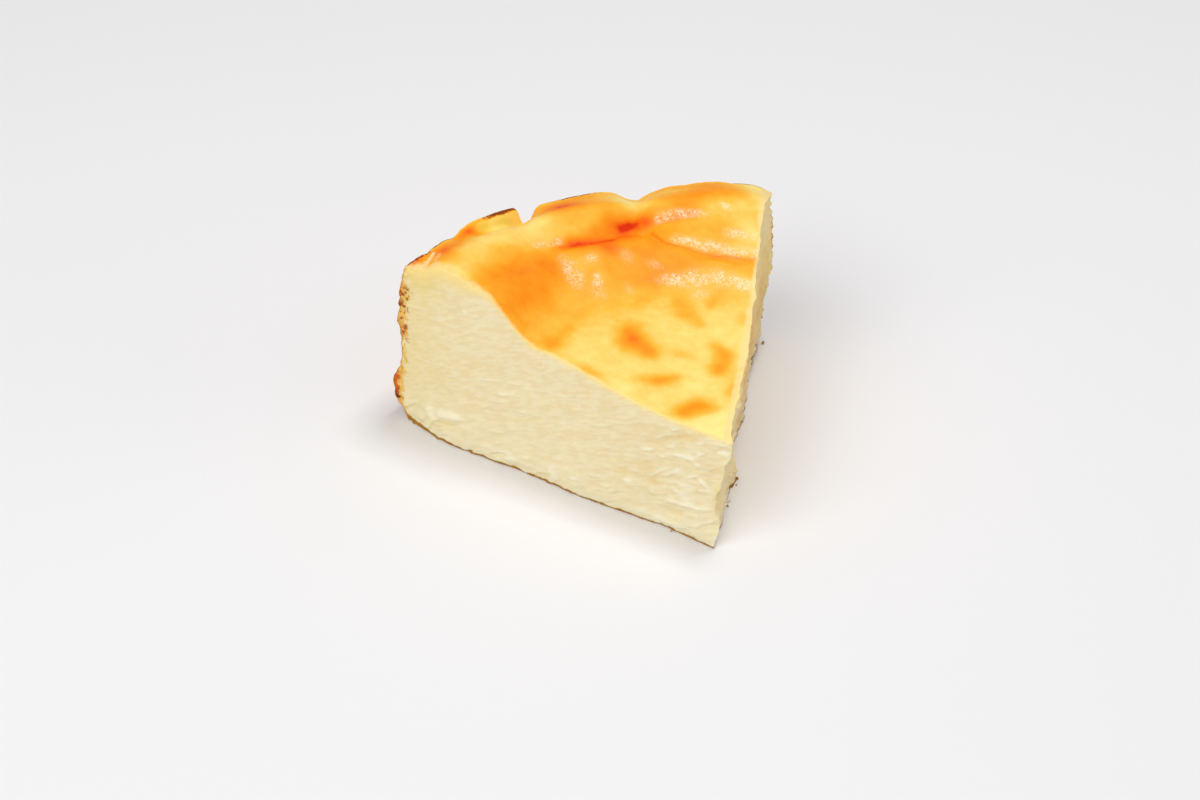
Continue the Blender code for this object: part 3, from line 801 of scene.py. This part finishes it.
    def shaped(self, across, out_share, up_share):
        """Place of a lattice point and its distances from the wall and the top: across from -1 (left cut)
        to 1, out from the tip and up from the base as shares."""
        angle = across * self.half_angle
        turn = math.degrees(angle + self.half_angle)
        direction = Vector((math.sin(angle), math.cos(angle), 0))
        edge_height = self.top_height(direction.x * self.radius, direction.y * self.radius)
        radius = out_share * self.radius
        height = self.top_height(direction.x * radius, direction.y * radius)
        z = up_share * height
        edge_z = up_share * edge_height
        swell = self.wall_radius(turn, edge_z, edge_height) - self.radius
        swell += wrinkles(math.radians(turn) * self.radius, edge_z, WALL_WRINKLES, WALL_NOISE)
        radius += swell * ramp(out_share, WALL_REACH, 1)
        wall_gap = self.radius + swell - radius
        place = direction * radius
        place.z = z
        left_gap = radius * math.sin(self.half_angle + angle)
        right_gap = radius * math.sin(self.half_angle - angle)
        crumbs = self.crust_crumbs(place, wall_gap)
        for gap, normal, offset, side in (
            (left_gap, self.left_normal, self.left_cut_offset, LEFT),
            (right_gap, self.right_normal, self.right_cut_offset, RIGHT),
        ):
            if gap < CUT_REACH:
                place += normal * (1 - ramp(gap, 0, CUT_REACH)) * offset(radius, z, height)
            if gap < CUT_RELIEF_REACH:
                fine = self.cut_relief(radius, z, side) + crumbs
                place += normal * (1 - ramp(gap, 0, CUT_RELIEF_REACH)) * fine
        place += self.tip_shift(radius, z)
        place.z = z
        return place, wall_gap, height - z

    def browning(self, x, y):
        """Browning of the skin at a place, from 0 for pale to 1 for dark red."""
        length, reach = BROWNING_WARP
        warped_x, warped_y = (
            at + reach * noise.noise(Vector((x / length, y / length, start)))
            for at, start in zip((x, y), BROWNING_NOISE))
        radius = math.hypot(x, y)
        level = BROWNING_TIP
        for added, near, far in BROWNING_RINGS.values():
            level += added * ramp(radius, near, far)
        level += patches_at(warped_x, warped_y, SKIN_PATCHES)
        level += lines_at(x, y, SKIN_LINES)
        return level

    def skin_marks(self, x, y, wall_gap):
        """Values of the skin's named attributes at a place."""
        radius, turn = math.hypot(x, y), self.turn_of(x, y)
        left_gap = radius * math.sin(math.radians(turn))
        right_gap = radius * math.sin(math.radians(self.angle - turn))
        by_rim = ramp(radius, *SKIN_THIN_GROWS)
        thin_left = 1 - ramp(left_gap, 0, blend(SKIN_THIN_LEFT, by_rim))
        thin_right = 1 - ramp(right_gap, 0, blend(SKIN_THIN_RIGHT, by_rim))
        return {
            "browning": max(0.0, self.browning(x, y) + rim_marks_at(turn, wall_gap, RIM_BROWNING)),
            "shine": patches_at(x, y, SHINE_PATCHES) + lines_at(x, y, SHINE_LINES),
            "torn": lines_at(x, y, TORN_LINES),
            "scorch": rim_marks_at(turn, wall_gap, RIM_SCORCH),
            "green": rim_marks_at(turn, wall_gap, RIM_GREEN),
            "thin": max(thin_left, thin_right),
        }

    def under_skin(self, out, top_gap):
        """How much of the skin's yellow shows in the left cut under its top edge."""
        by_rim = ramp(out, *UNDER_SKIN_GROWS)
        return blend(UNDER_SKIN_STRENGTH, by_rim) * (1 - ramp(top_gap, 0, blend(UNDER_SKIN_REACH, by_rim)))

    def cut_marks(self, place, side, top_gap):
        """Values of a cut face's named attributes at a place."""
        out, z = place.xy.length, place.z
        marks = {"relief": self.cut_relief(out, z, side)}
        if side == RIGHT:
            marks["dry"] = self.tan_and_shade_tint(out, z)
        else:
            marks["yellow"] = patches_at(out, z, LEFT_CUT_YELLOW)
            marks["top_edge"] = self.under_skin(out, top_gap)
        return marks


class Finish:
    """A new material, with short ways to add its nodes and join them."""

    def __init__(self, name):
        self.material = bpy.data.materials.new(name)
        self.material.use_nodes = True
        self.tree = self.material.node_tree
        self.shader = self.tree.nodes["Principled BSDF"]

    def set(self, **values):
        """Sets sockets of the shader that are the same all over."""
        for name, value in values.items():
            self.shader.inputs[name.replace("_", " ").title().replace("Ior", "IOR")].default_value = value

    def add(self, kind):
        """A new node of a kind."""
        return self.tree.nodes.new("ShaderNode" + kind)

    def join(self, value, socket):
        """Links a node's output to a socket, or sets the socket to a plain value."""
        if isinstance(value, bpy.types.NodeSocket):
            self.tree.links.new(value, socket)
        else:
            socket.default_value = value

    def place(self):
        """Object coordinates, which are metres from the middle of the base."""
        return self.add("TexCoord").outputs["Object"]

    def height(self):
        """Height over the base in mm."""
        split = self.add("SeparateXYZ")
        self.join(self.place(), split.inputs[0])
        return self.math("DIVIDE", split.outputs["Z"], MM)

    def mark(self, name):
        """The value of one of the piece's own attributes."""
        node = self.add("Attribute")
        node.attribute_name = name
        return node.outputs["Fac"]

    def grain(self, size, detail=2.0, stretch=(1, 1, 1), turn=(0, 0, 0)):
        """Noise from 0 to 1 whose grains are about size mm wide, drawn out along turned axes by stretch."""
        mapping = self.add("Mapping")
        mapping.vector_type = "TEXTURE"
        self.join(self.place(), mapping.inputs["Vector"])
        mapping.inputs["Rotation"].default_value = turn
        mapping.inputs["Scale"].default_value = [size * MM * s for s in stretch]
        node = self.add("TexNoise")
        self.join(mapping.outputs[0], node.inputs["Vector"])
        node.inputs["Scale"].default_value = 1
        node.inputs["Detail"].default_value = detail
        return node.outputs["Fac"]

    def uneven(self, size, detail, reach):
        """The same noise round 0, reach wide in all."""
        return self.times(self.math("SUBTRACT", self.grain(size, detail), 0.5), reach)

    def math(self, operation, first, second):
        """One step of arithmetic."""
        node = self.add("Math")
        node.operation = operation
        self.join(first, node.inputs[0])
        self.join(second, node.inputs[1])
        return node.outputs[0]

    def plus(self, first, *others):
        """Sum of some values."""
        for other in others:
            first = self.math("ADD", first, other)
        return first

    def times(self, first, *others):
        """Product of some values."""
        for other in others:
            first = self.math("MULTIPLY", first, other)
        return first

    def spread(self, value, low, high, to_low=0.0, to_high=1.0):
        """Maps a range of a value smoothly to another range."""
        node = self.add("MapRange")
        node.interpolation_type = "SMOOTHSTEP"
        for socket, number in zip(node.inputs[:5], (value, low, high, to_low, to_high)):
            self.join(number, socket)
        return node.outputs[0]

    def mix(self, share, first, second):
        """Blend of two colours."""
        node = self.add("Mix")
        node.data_type = "RGBA"
        self.join(share, node.inputs["Factor"])
        for name, colour in (("A", first), ("B", second)):
            socket = next(s for s in node.inputs if s.name == name and s.type == "RGBA")
            self.join(colour if isinstance(colour, bpy.types.NodeSocket) else (*colour, 1), socket)
        return next(s for s in node.outputs if s.type == "RGBA")

    def coats(self, colour, *coats):
        """A colour with others laid over it one after the other, each as (share, colour)."""
        for share, coat in coats:
            colour = self.mix(share, colour, coat)
        return colour

    def ramp(self, value, stops):
        """Colour and alpha along a value, from stops of (place, colour)."""
        node = self.add("ValToRGB")
        elements = node.color_ramp.elements
        while len(elements) < len(stops):
            elements.new(1.0)
        for element, (place, colour) in zip(elements, stops):
            element.position = place
            element.color = colour if len(colour) == 4 else (*colour, 1)
        self.join(value, node.inputs[0])
        return node.outputs["Color"], node.outputs["Alpha"]

    def relief(self, height, depth, strength=1.0, under=None):
        """Normal of a surface whose bumps are depth mm high."""
        node = self.add("Bump")
        node.inputs["Distance"].default_value = depth * MM
        self.join(strength, node.inputs["Strength"])
        self.join(height, node.inputs["Height"])
        if under is not None:
            self.join(under, node.inputs["Normal"])
        return node.outputs[0]

    def finish(self, colour, roughness, normal):
        """Joins what varies over the surface to the shader."""
        self.join(colour, self.shader.inputs["Base Color"])
        self.join(roughness, self.shader.inputs["Roughness"])
        self.join(normal, self.shader.inputs["Normal"])
        return self.material


def browned_skin(colours):
    """Skin of the top: satin and waxy, browned by its own attribute, glittering where it is oily, with pale
    highlight specks also painted into its colour there.
    """
    skin = Finish("browned_skin")
    skin.set(subsurface_weight=0.25, subsurface_scale=0.0025, subsurface_radius=(1.0, 0.55, 0.25))
    skin.set(ior=1.45, specular_ior_level=0.18)
    browning = skin.plus(skin.mark("browning"), skin.uneven(2.4, 4.0, 0.22), skin.uneven(9.0, 2.0, 0.16))
    colour, _ = skin.ramp(browning, (
        (0.0, colours.pale), (0.20, colours.straw), (0.45, colours.amber), (0.62, colours.apricot),
        (0.76, colours.orange), (0.90, colours.rust), (1.0, colours.ember)))
    thin = skin.spread(skin.plus(skin.mark("thin"), skin.uneven(3.0, 3.0, 1.6)), 0.35, 1.05, 0.0, 0.8)
    green = skin.spread(skin.mark("green"), 0.1, 1.0)
    ragged = skin.uneven(0.8, 2.0, 1.4)
    torn = skin.spread(skin.plus(skin.mark("torn"), ragged), 0.35, 0.95)
    scorch = skin.spread(skin.plus(skin.mark("scorch"), ragged), 0.3, 0.9)
    shine = skin.mark("shine")
    # Painted highlight: pale specks in clumps, laid over the skin's colour where it shines
    glint_clumps = skin.spread(skin.grain(2.4, 3.0), 0.36, 0.56, 0.2, 1.0)
    glint_specks = skin.spread(skin.grain(0.5, 4.0), 0.30, 0.68)
    painted_glints = skin.times(glint_specks, glint_clumps, skin.spread(shine, 0.0, 1.0, 0.0, 0.9))
    colour = skin.coats(
        colour, (thin, colours.stretched), (green, colours.green), (torn, colours.torn),
        (scorch, colours.scorched), (painted_glints, colours.painted_glint))
    roughness = skin.plus(skin.spread(shine, 0.0, 1.0, 0.50, 0.30), skin.times(scorch, 0.3))
    pimples = skin.relief(skin.grain(0.55, 1.0), 0.3, skin.spread(shine, 0.1, 1.0, 0.04, 0.9))
    return skin.finish(colour, roughness, skin.relief(skin.grain(2.2, 2.0), 0.3, 0.3, pimples))


def crust_coats(cheese, colours, dry, wall_gap, height):
    """The crust at the wall's ends of the cuts, as coats: bands up its height, and dark specks."""
    top = 50
    bands = (
        (0, colours.brown, 0.30), (2.5, colours.peach, 0.45), (4.5, colours.peach, 0.45),
        (5.5, colours.ember, 0.50), (6.75, colours.ember, 0.50), (7.75, colours.rust, 0.75),
        (12, colours.rust, 0.75), (13.75, colours.tan, 0.40), (16.5, colours.pale_tan, 0.25),
        (22, colours.pale_tan, 0.25), (24.5, colours.tan, 0.55), (31, colours.golden, 0.60),
        (33, colours.ember, 0.60), (35, colours.golden, 0.60), (38.5, colours.tan, 0.50),
        (40, colours.golden, 0.12), (top, colours.golden, 0.08))
    stops = [(at / top, (*colour, depth)) for at, colour, depth in bands]
    colour, depth = cheese.ramp(cheese.math("DIVIDE", height, top), stops)
    depth = cheese.times(depth, cheese.spread(dry, 0.0, 0.5, 4.0, 1.0))
    gap = cheese.plus(wall_gap, cheese.uneven(1.6, 3.0, 5.0))
    share = cheese.spread(cheese.math("SUBTRACT", depth, gap), -0.5, 0.5)
    inner = cheese.spread(cheese.math("DIVIDE", gap, depth), 0.2, 0.7)
    edge = cheese.spread(wall_gap, 0.5, 0.05, 0.0, 0.5)
    colour = cheese.coats(colour, (inner, colours.golden), (edge, colours.dark))
    specks = cheese.times(
        cheese.spread(cheese.grain(1.2, 4.0), 0.51, 0.60), cheese.spread(gap, 3.4, 1.8),
        cheese.spread(height, 20, 26, 0.0, 0.9), cheese.spread(height, 40, 37, 0.1, 1.0))
    return (share, colour), (specks, colours.dark)


def cut_cheese(colours):
    """Cut faces: moist pale cheese in dragged streaks, painted lighter and darker with its streaks and
    relief, with painted warm shade on the right cut, crust at the wall and a thin brown foot.
    """
    cheese = Finish("cut_cheese")
    cheese.set(subsurface_weight=0.35, subsurface_scale=0.003, subsurface_radius=(1.0, 0.7, 0.4))
    cheese.set(ior=1.4, specular_ior_level=0.25)
    raised, wall_gap, height = cheese.mark("relief"), cheese.mark("wall_gap"), cheese.height()
    streaks = cheese.grain(1.0, 3.0, stretch=(3.5, 1, 1), turn=(0, math.radians(-23), math.radians(-57)))
    # Tan tint of the right cut, a painted warm shade, and of the tip's chip
    dry = cheese.times(cheese.mark("dry"), cheese.spread(cheese.grain(8.0, 4.0), 0.3, 0.7, 0.88, 1.1))
    by_crust = cheese.plus(cheese.mark("yellow"), cheese.spread(wall_gap, 30.0, 0.5, 0.0, 0.55))
    yellow = cheese.spread(cheese.plus(by_crust, cheese.uneven(2.4, 4.0, 0.7)), 0.0, 1.2, 0.0, 0.8)
    foot_height = cheese.plus(height, cheese.uneven(2.6, 3.0, 1.4))
    foot_height = cheese.math("SUBTRACT", foot_height, cheese.spread(wall_gap, 24.0, 6.0, 0.0, 0.5))
    # The streaks that bump the cuts also paint them lighter and darker, and raised relief is painted lighter
    # and sunk relief darker: painted highlight and shade over the paler cheese of the smears
    colour = cheese.coats(
        cheese.mix(cheese.spread(streaks, 0.38, 0.62), colours.hollow, colours.smear_and_highlight),
        (0.74, colours.cream),
        (cheese.spread(raised, 0.05, 0.7, 0.0, 0.9), colours.smear_and_highlight),
        (cheese.spread(raised, -0.05, -0.45, 0.0, 0.8), colours.hollow),
        # Painted warm shade of the right cut, in a darker tan towards its foot
        (dry, colours.dry),
        (cheese.spread(dry, 0.6, 1.9, 0.0, 0.65), colours.tan),
        (yellow, colours.yellow),
        (cheese.spread(height, 16, 2, 0.0, 0.3), colours.smear_and_highlight),
        (cheese.mark("top_edge"), colours.under_skin),
        *crust_coats(cheese, colours, dry, wall_gap, height),
        (cheese.spread(foot_height, 0.65, 0.30), colours.brown))
    roughness = cheese.spread(cheese.grain(1.6, 2.0), 0.3, 0.7, 0.42, 0.6)
    pores = cheese.relief(cheese.grain(0.5, 3.0), 0.2, 0.5)
    return cheese.finish(colour, roughness, cheese.relief(streaks, 0.4, 0.3, pores))


def baked_wall(colours):
    """Outer wall and base: tan crust, browner in patches, with dark specks and a bright top edge."""
    wall = Finish("baked_wall")
    wall.set(subsurface_weight=0.08, subsurface_scale=0.002, ior=1.4)
    patchy = wall.grain(9.0, 4.0, stretch=(1, 1, 1.8))
    upright = wall.grain(6.0, 4.0, stretch=(1, 1, 2.5))
    under_edge = wall.plus(wall.mark("top_gap"), wall.uneven(4.0, 3.0, 5.0))
    colour = wall.coats(
        wall.mix(wall.spread(patchy, 0.35, 0.72, 0.0, 0.8), colours.tan, colours.brown),
        (wall.spread(upright, 0.60, 0.34, 0.0, 0.7), colours.golden),
        (wall.spread(wall.height(), 4, 0.5), colours.brown),
        (wall.times(wall.spread(wall.grain(0.7, 2.0), 0.60, 0.70), 0.6), colours.dark),
        (wall.spread(under_edge, 4.5, 2.0), colours.edge))
    roughness = wall.spread(patchy, 0.3, 0.7, 0.62, 0.48)
    pits = wall.relief(wall.grain(0.7, 3.0), 0.25, 0.5)
    return wall.finish(colour, roughness, wall.relief(wall.grain(2.4, 3.0, (1, 1, 3)), 0.5, 0.5, pits))


def loose_crumb(colours):
    """Crumbs of crust: tan to dark brown from crumb to crumb."""
    crumb = Finish("loose_crumb")
    crumb.set(subsurface_weight=0.1, subsurface_scale=0.001, ior=1.4)
    colour = crumb.mix(crumb.spread(crumb.grain(1.8, 2.0), 0.4, 0.6), colours.golden, colours.brown)
    return crumb.finish(colour, 0.6, crumb.relief(crumb.grain(0.3, 2.0), 0.1, 0.6))


def new_object(name, mesh, *materials):
    """Turns a bmesh into an object with its materials, and frees the bmesh."""
    data = bpy.data.meshes.new(name)
    mesh.to_mesh(data)
    mesh.free()
    for material in materials:
        data.materials.append(material)
    made = bpy.data.objects.new(name, data)
    bpy.context.scene.collection.objects.link(made)
    return made


def lattice(rows, tiers):
    """A closed prism whose top is a triangular lattice and whose three sides are ladders of quads.

    Its points hold shares: y is the row from tip to rim, x runs from -y to y, and z is the tier."""
    mesh = bmesh.new()
    corners = [mesh.verts.new(corner) for corner in ((0, 0, 1), (1, 1, 1), (-1, 1, 1))]
    mesh.faces.new(corners)
    bmesh.ops.subdivide_edges(mesh, edges=mesh.edges[:], cuts=rows - 1, use_grid_fill=True)
    outline = [edge for edge in mesh.edges if edge.is_boundary]
    dropped = bmesh.ops.extrude_edge_only(mesh, edges=outline)["geom"]
    base = [part for part in dropped if isinstance(part, bmesh.types.BMVert)]
    bmesh.ops.translate(mesh, verts=base, vec=(0, 0, -1))
    posts = [edge for edge in mesh.edges if edge.verts[0].co.z != edge.verts[1].co.z]
    bmesh.ops.subdivide_edges(mesh, edges=posts, cuts=tiers - 1, use_grid_fill=True)
    open_loop = [edge for edge in mesh.edges if edge.is_boundary]
    bmesh.ops.edgeloop_fill(mesh, edges=open_loop)
    bmesh.ops.recalc_face_normals(mesh, faces=mesh.faces[:])
    return mesh


def is_near(value, target):
    """True for two shares that differ only by rounding."""
    return abs(value - target) < 1e-4


def give_finishes(mesh):
    """Numbers the lattice's faces by finish: 0 for the skin, 1 for the cut faces, 2 for wall and base."""
    for face in mesh.faces:
        middle = face.calc_center_median()
        if all(is_near(vert.co.z, 1) for vert in face.verts):
            face.material_index = 0
        elif all(is_near(abs(vert.co.x), vert.co.y) for vert in face.verts) and not is_near(middle.z, 0):
            face.material_index = 1
        else:
            face.material_index = 2


def shape_lattice(mesh, shape):
    """Moves the lattice's points onto the slice's surface and writes down their attributes."""
    layers = {name: mesh.verts.layers.float.new(name) for name in MARKS}
    low, high = (corner.copy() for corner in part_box(NODE))
    for vert in mesh.verts:
        row, tier = vert.co.y, vert.co.z
        across = vert.co.x / row if row > 0 else 0.0
        out_share = row + ROW_CROWDING * (row - row ** 4)
        up_share = tier - TIER_CROWDING * math.sin(2 * math.pi * tier)
        place, wall_gap, top_gap = shape.shaped(across, out_share, up_share)
        marks = {"wall_gap": wall_gap, "top_gap": top_gap}
        if is_near(tier, 1):
            marks |= shape.skin_marks(place.x, place.y, wall_gap)
        if is_near(abs(across), 1) or row == 0:
            marks |= shape.cut_marks(place, LEFT if across <= 0 else RIGHT, top_gap)
        for name, value in marks.items():
            vert[layers[name]] = value
        place = (place - BOX_MIDDLE) * MM
        vert.co = [min(max(value, low[axis]), high[axis]) for axis, value in enumerate(place)]


class CHEESECAKE_OT_slice(Operator):
    """Build the slice and its finishes in place of its plain solid"""

    bl_idname = "cheesecake.slice"
    bl_label = "Slice"

    # Beyond what angle between two faces the edge between them is sharp
    SHARP_FROM = math.radians(50)

    def execute(self, context):
        scene = context.scene
        sizes = scene.cheesecake_sizes
        mesh = lattice(sizes.rows, sizes.tiers)
        give_finishes(mesh)
        shape_lattice(mesh, SliceShape(sizes))
        piece = new_object(
            "slice_surface", mesh, browned_skin(scene.cheesecake_skin), cut_cheese(scene.cheesecake_cheese),
            baked_wall(scene.cheesecake_cheese))
        piece.data.shade_smooth()
        piece.data.set_sharp_from_angle(angle=self.SHARP_FROM)
        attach(piece, BODY)
        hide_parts(NODE)
        return {"FINISHED"}


def add_crumb(mesh, place, width, draw):
    """Adds one uneven crumb that rests on the floor at a place, in mm."""
    made = bmesh.ops.create_icosphere(mesh, subdivisions=2, radius=width / 2)["verts"]
    stretch = [draw.uniform(*CRUMB_STRETCH) for _ in range(3)]
    shift = Vector([draw.uniform(*CRUMB_NOISE) for _ in range(3)])
    bmesh.ops.scale(mesh, verts=made, vec=stretch)
    for vert in made:
        vert.co *= 1 + CRUMB_UNEVENNESS * noise.noise(vert.co / (CRUMB_WAVELENGTH * width) + shift)
    bmesh.ops.rotate(mesh, verts=made, matrix=Matrix.Rotation(draw.uniform(0, math.tau), 3, "Z"))
    foot = min(vert.co.z for vert in made)
    bmesh.ops.translate(mesh, verts=made, vec=Vector((place.x, place.y, -foot)))


class CHEESECAKE_OT_crumbs(Operator):
    """Scatter loose crumbs of crust along the foot of both cuts"""

    bl_idname = "cheesecake.crumbs"
    bl_label = "Crumbs"

    # Crumbs that show well: x, y and width
    SEEN = ((49.2, 73.4, 0.9), (16.9, 22.8, 0.8))
    # Between which shares of the cake's radius and of the spread the others lie
    OUT = (0.08, 0.9)
    APART = (0.4, 1.0)

    def execute(self, context):
        scene = context.scene
        crumbs = scene.cheesecake_crumbs
        shape = SliceShape(scene.cheesecake_sizes)
        draw = random.Random(crumbs.seed)
        mesh = bmesh.new()
        for x, y, width in self.SEEN:
            add_crumb(mesh, Vector((x, y, 0)), width, draw)
        # Every third crumb lies by the left cut
        sides = (
            (shape.right_along, shape.right_normal, shape.right_cut_offset),
            (shape.right_along, shape.right_normal, shape.right_cut_offset),
            (shape.left_along, shape.left_normal, shape.left_cut_offset),
        )
        for number in range(crumbs.count):
            along, normal, offset = sides[number % 3]
            out = draw.uniform(*self.OUT) * shape.radius
            stand_off = offset(out, 0, shape.centre_height) + draw.uniform(*self.APART) * crumbs.spread / MM
            width = draw.triangular(crumbs.smallest, crumbs.largest, crumbs.smallest) / MM
            add_crumb(mesh, along * out + normal * stand_off, width, draw)
        bmesh.ops.translate(mesh, verts=mesh.verts[:], vec=-BOX_MIDDLE)
        bmesh.ops.scale(mesh, verts=mesh.verts[:], vec=(MM, MM, MM))
        bmesh.ops.recalc_face_normals(mesh, faces=mesh.faces[:])
        piece = new_object("loose_crumbs", mesh, loose_crumb(scene.cheesecake_cheese))
        piece.data.shade_smooth()
        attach(piece, BODY)
        return {"FINISHED"}


class CHEESECAKE_OT_stage(Operator):
    """Set up the plain floor, the soft studio light and the camera"""

    bl_idname = "cheesecake.stage"
    bl_label = "Stage"

    # Square soft lights: name, place and side in metres, and where they aim
    LIGHTS = (
        ("overhead", (0.21, 0.08, 0.95), 0.28),
        ("side", (-0.80, -0.40, 0.95), 0.9),
        ("fill", (0.90, -0.50, 0.35), 0.6),
    )
    LIGHT_AIM = Vector((0, 0, 0.03))
    CAMERA_PLACE = Vector((-392.8, -718.0, 615.0))
    FLOOR_GAP = 0.05 * MM

    def execute(self, context):
        scene = context.scene
        stage = scene.cheesecake_stage
        self.add_floor(stage)
        self.add_surroundings(scene, stage)
        for name, place, side in self.LIGHTS:
            self.add_light(scene, name + "_light", place, side, getattr(stage, name + "_power"))
        self.add_camera(scene, stage)
        scene.view_settings.view_transform = "Standard"
        return {"FINISHED"}

    def add_light(self, scene, name, place, side, power):
        """A square soft light at a place, turned to the slice."""
        data = bpy.data.lights.new(name, "AREA")
        data.shape = "SQUARE"
        data.size = side
        data.energy = power
        light = bpy.data.objects.new(name, data)
        light.location = place
        light.rotation_euler = (Vector(place) - self.LIGHT_AIM).to_track_quat("Z", "Y").to_euler()
        scene.collection.objects.link(light)

    def add_floor(self, stage):
        """A square floor just under the slice."""
        mesh = bmesh.new()
        bmesh.ops.create_grid(mesh, x_segments=1, y_segments=1, size=stage.floor_size / 2)
        bmesh.ops.translate(mesh, verts=mesh.verts[:], vec=(0, 0, -self.FLOOR_GAP))
        plain = Finish("plain_floor")
        plain.set(base_color=(*stage.floor, 1), roughness=0.7)
        floor = new_object("floor", mesh, plain.material)

    def add_surroundings(self, scene, stage):
        """Even white light from all round."""
        world = bpy.data.worlds.new("surroundings")
        world.use_nodes = True
        background = world.node_tree.nodes["Background"]
        background.inputs["Color"].default_value = (1, 1, 1, 1)
        background.inputs["Strength"].default_value = stage.sky_strength
        scene.world = world

    def add_camera(self, scene, stage):
        """The camera, looking down at the slice from the left of its tip."""
        data = bpy.data.cameras.new("camera")
        data.sensor_width = 36
        data.lens = stage.lens
        data.clip_start = 0.01
        camera = bpy.data.objects.new("camera", data)
        turn, tilt = stage.camera_turn, stage.camera_tilt
        backwards = Vector((
            math.sin(turn) * math.cos(tilt), -math.cos(turn) * math.cos(tilt), math.sin(tilt)))
        upright = backwards.to_track_quat("Z", "Y").to_matrix()
        rolled = Matrix.Rotation(stage.camera_roll, 3, backwards) @ upright
        camera.matrix_world = rolled.to_4x4()
        camera.location = (self.CAMERA_PLACE - BOX_MIDDLE) * MM
        scene.collection.objects.link(camera)
        scene.camera = camera


class CHEESECAKE_PT_panel(Panel):
    """Sizes, colours and steps of the cheesecake slice"""

    bl_idname = "CHEESECAKE_PT_panel"
    bl_label = "Cheesecake"
    bl_space_type = "VIEW_3D"
    bl_region_type = "UI"
    bl_category = "Cheesecake"

    def draw(self, context):
        for name, (group, _) in GROUPS.items():
            box = self.layout.box()
            settings = getattr(context.scene, name)
            for key in group.__annotations__:
                box.prop(settings, key)
        for operator in STEPS:
            self.layout.operator(operator.bl_idname)


GROUPS = {
    "cheesecake_sizes": (CakeSizes, "Sizes"),
    "cheesecake_skin": (SkinColours, "Skin"),
    "cheesecake_cheese": (CheeseColours, "Cheese"),
    "cheesecake_crumbs": (CrumbSizes, "Crumbs"),
    "cheesecake_stage": (StageSettings, "Stage"),
}
STEPS = (CHEESECAKE_OT_slice, CHEESECAKE_OT_crumbs, CHEESECAKE_OT_stage)


def register():
    for name, (group, title) in GROUPS.items():
        bpy.utils.register_class(group)
        setattr(bpy.types.Scene, name, PointerProperty(type=group, name=title))
    for cls in (*STEPS, CHEESECAKE_PT_panel):
        bpy.utils.register_class(cls)


def unregister():
    for cls in reversed((*STEPS, CHEESECAKE_PT_panel)):
        bpy.utils.unregister_class(cls)
    for name, (group, _) in reversed(GROUPS.items()):
        delattr(bpy.types.Scene, name)
        bpy.utils.unregister_class(group)


def main():
    register()
    bpy.ops.cheesecake.slice()
    bpy.ops.cheesecake.crumbs()
    bpy.ops.cheesecake.stage()


if __name__ == "__main__":
    main()
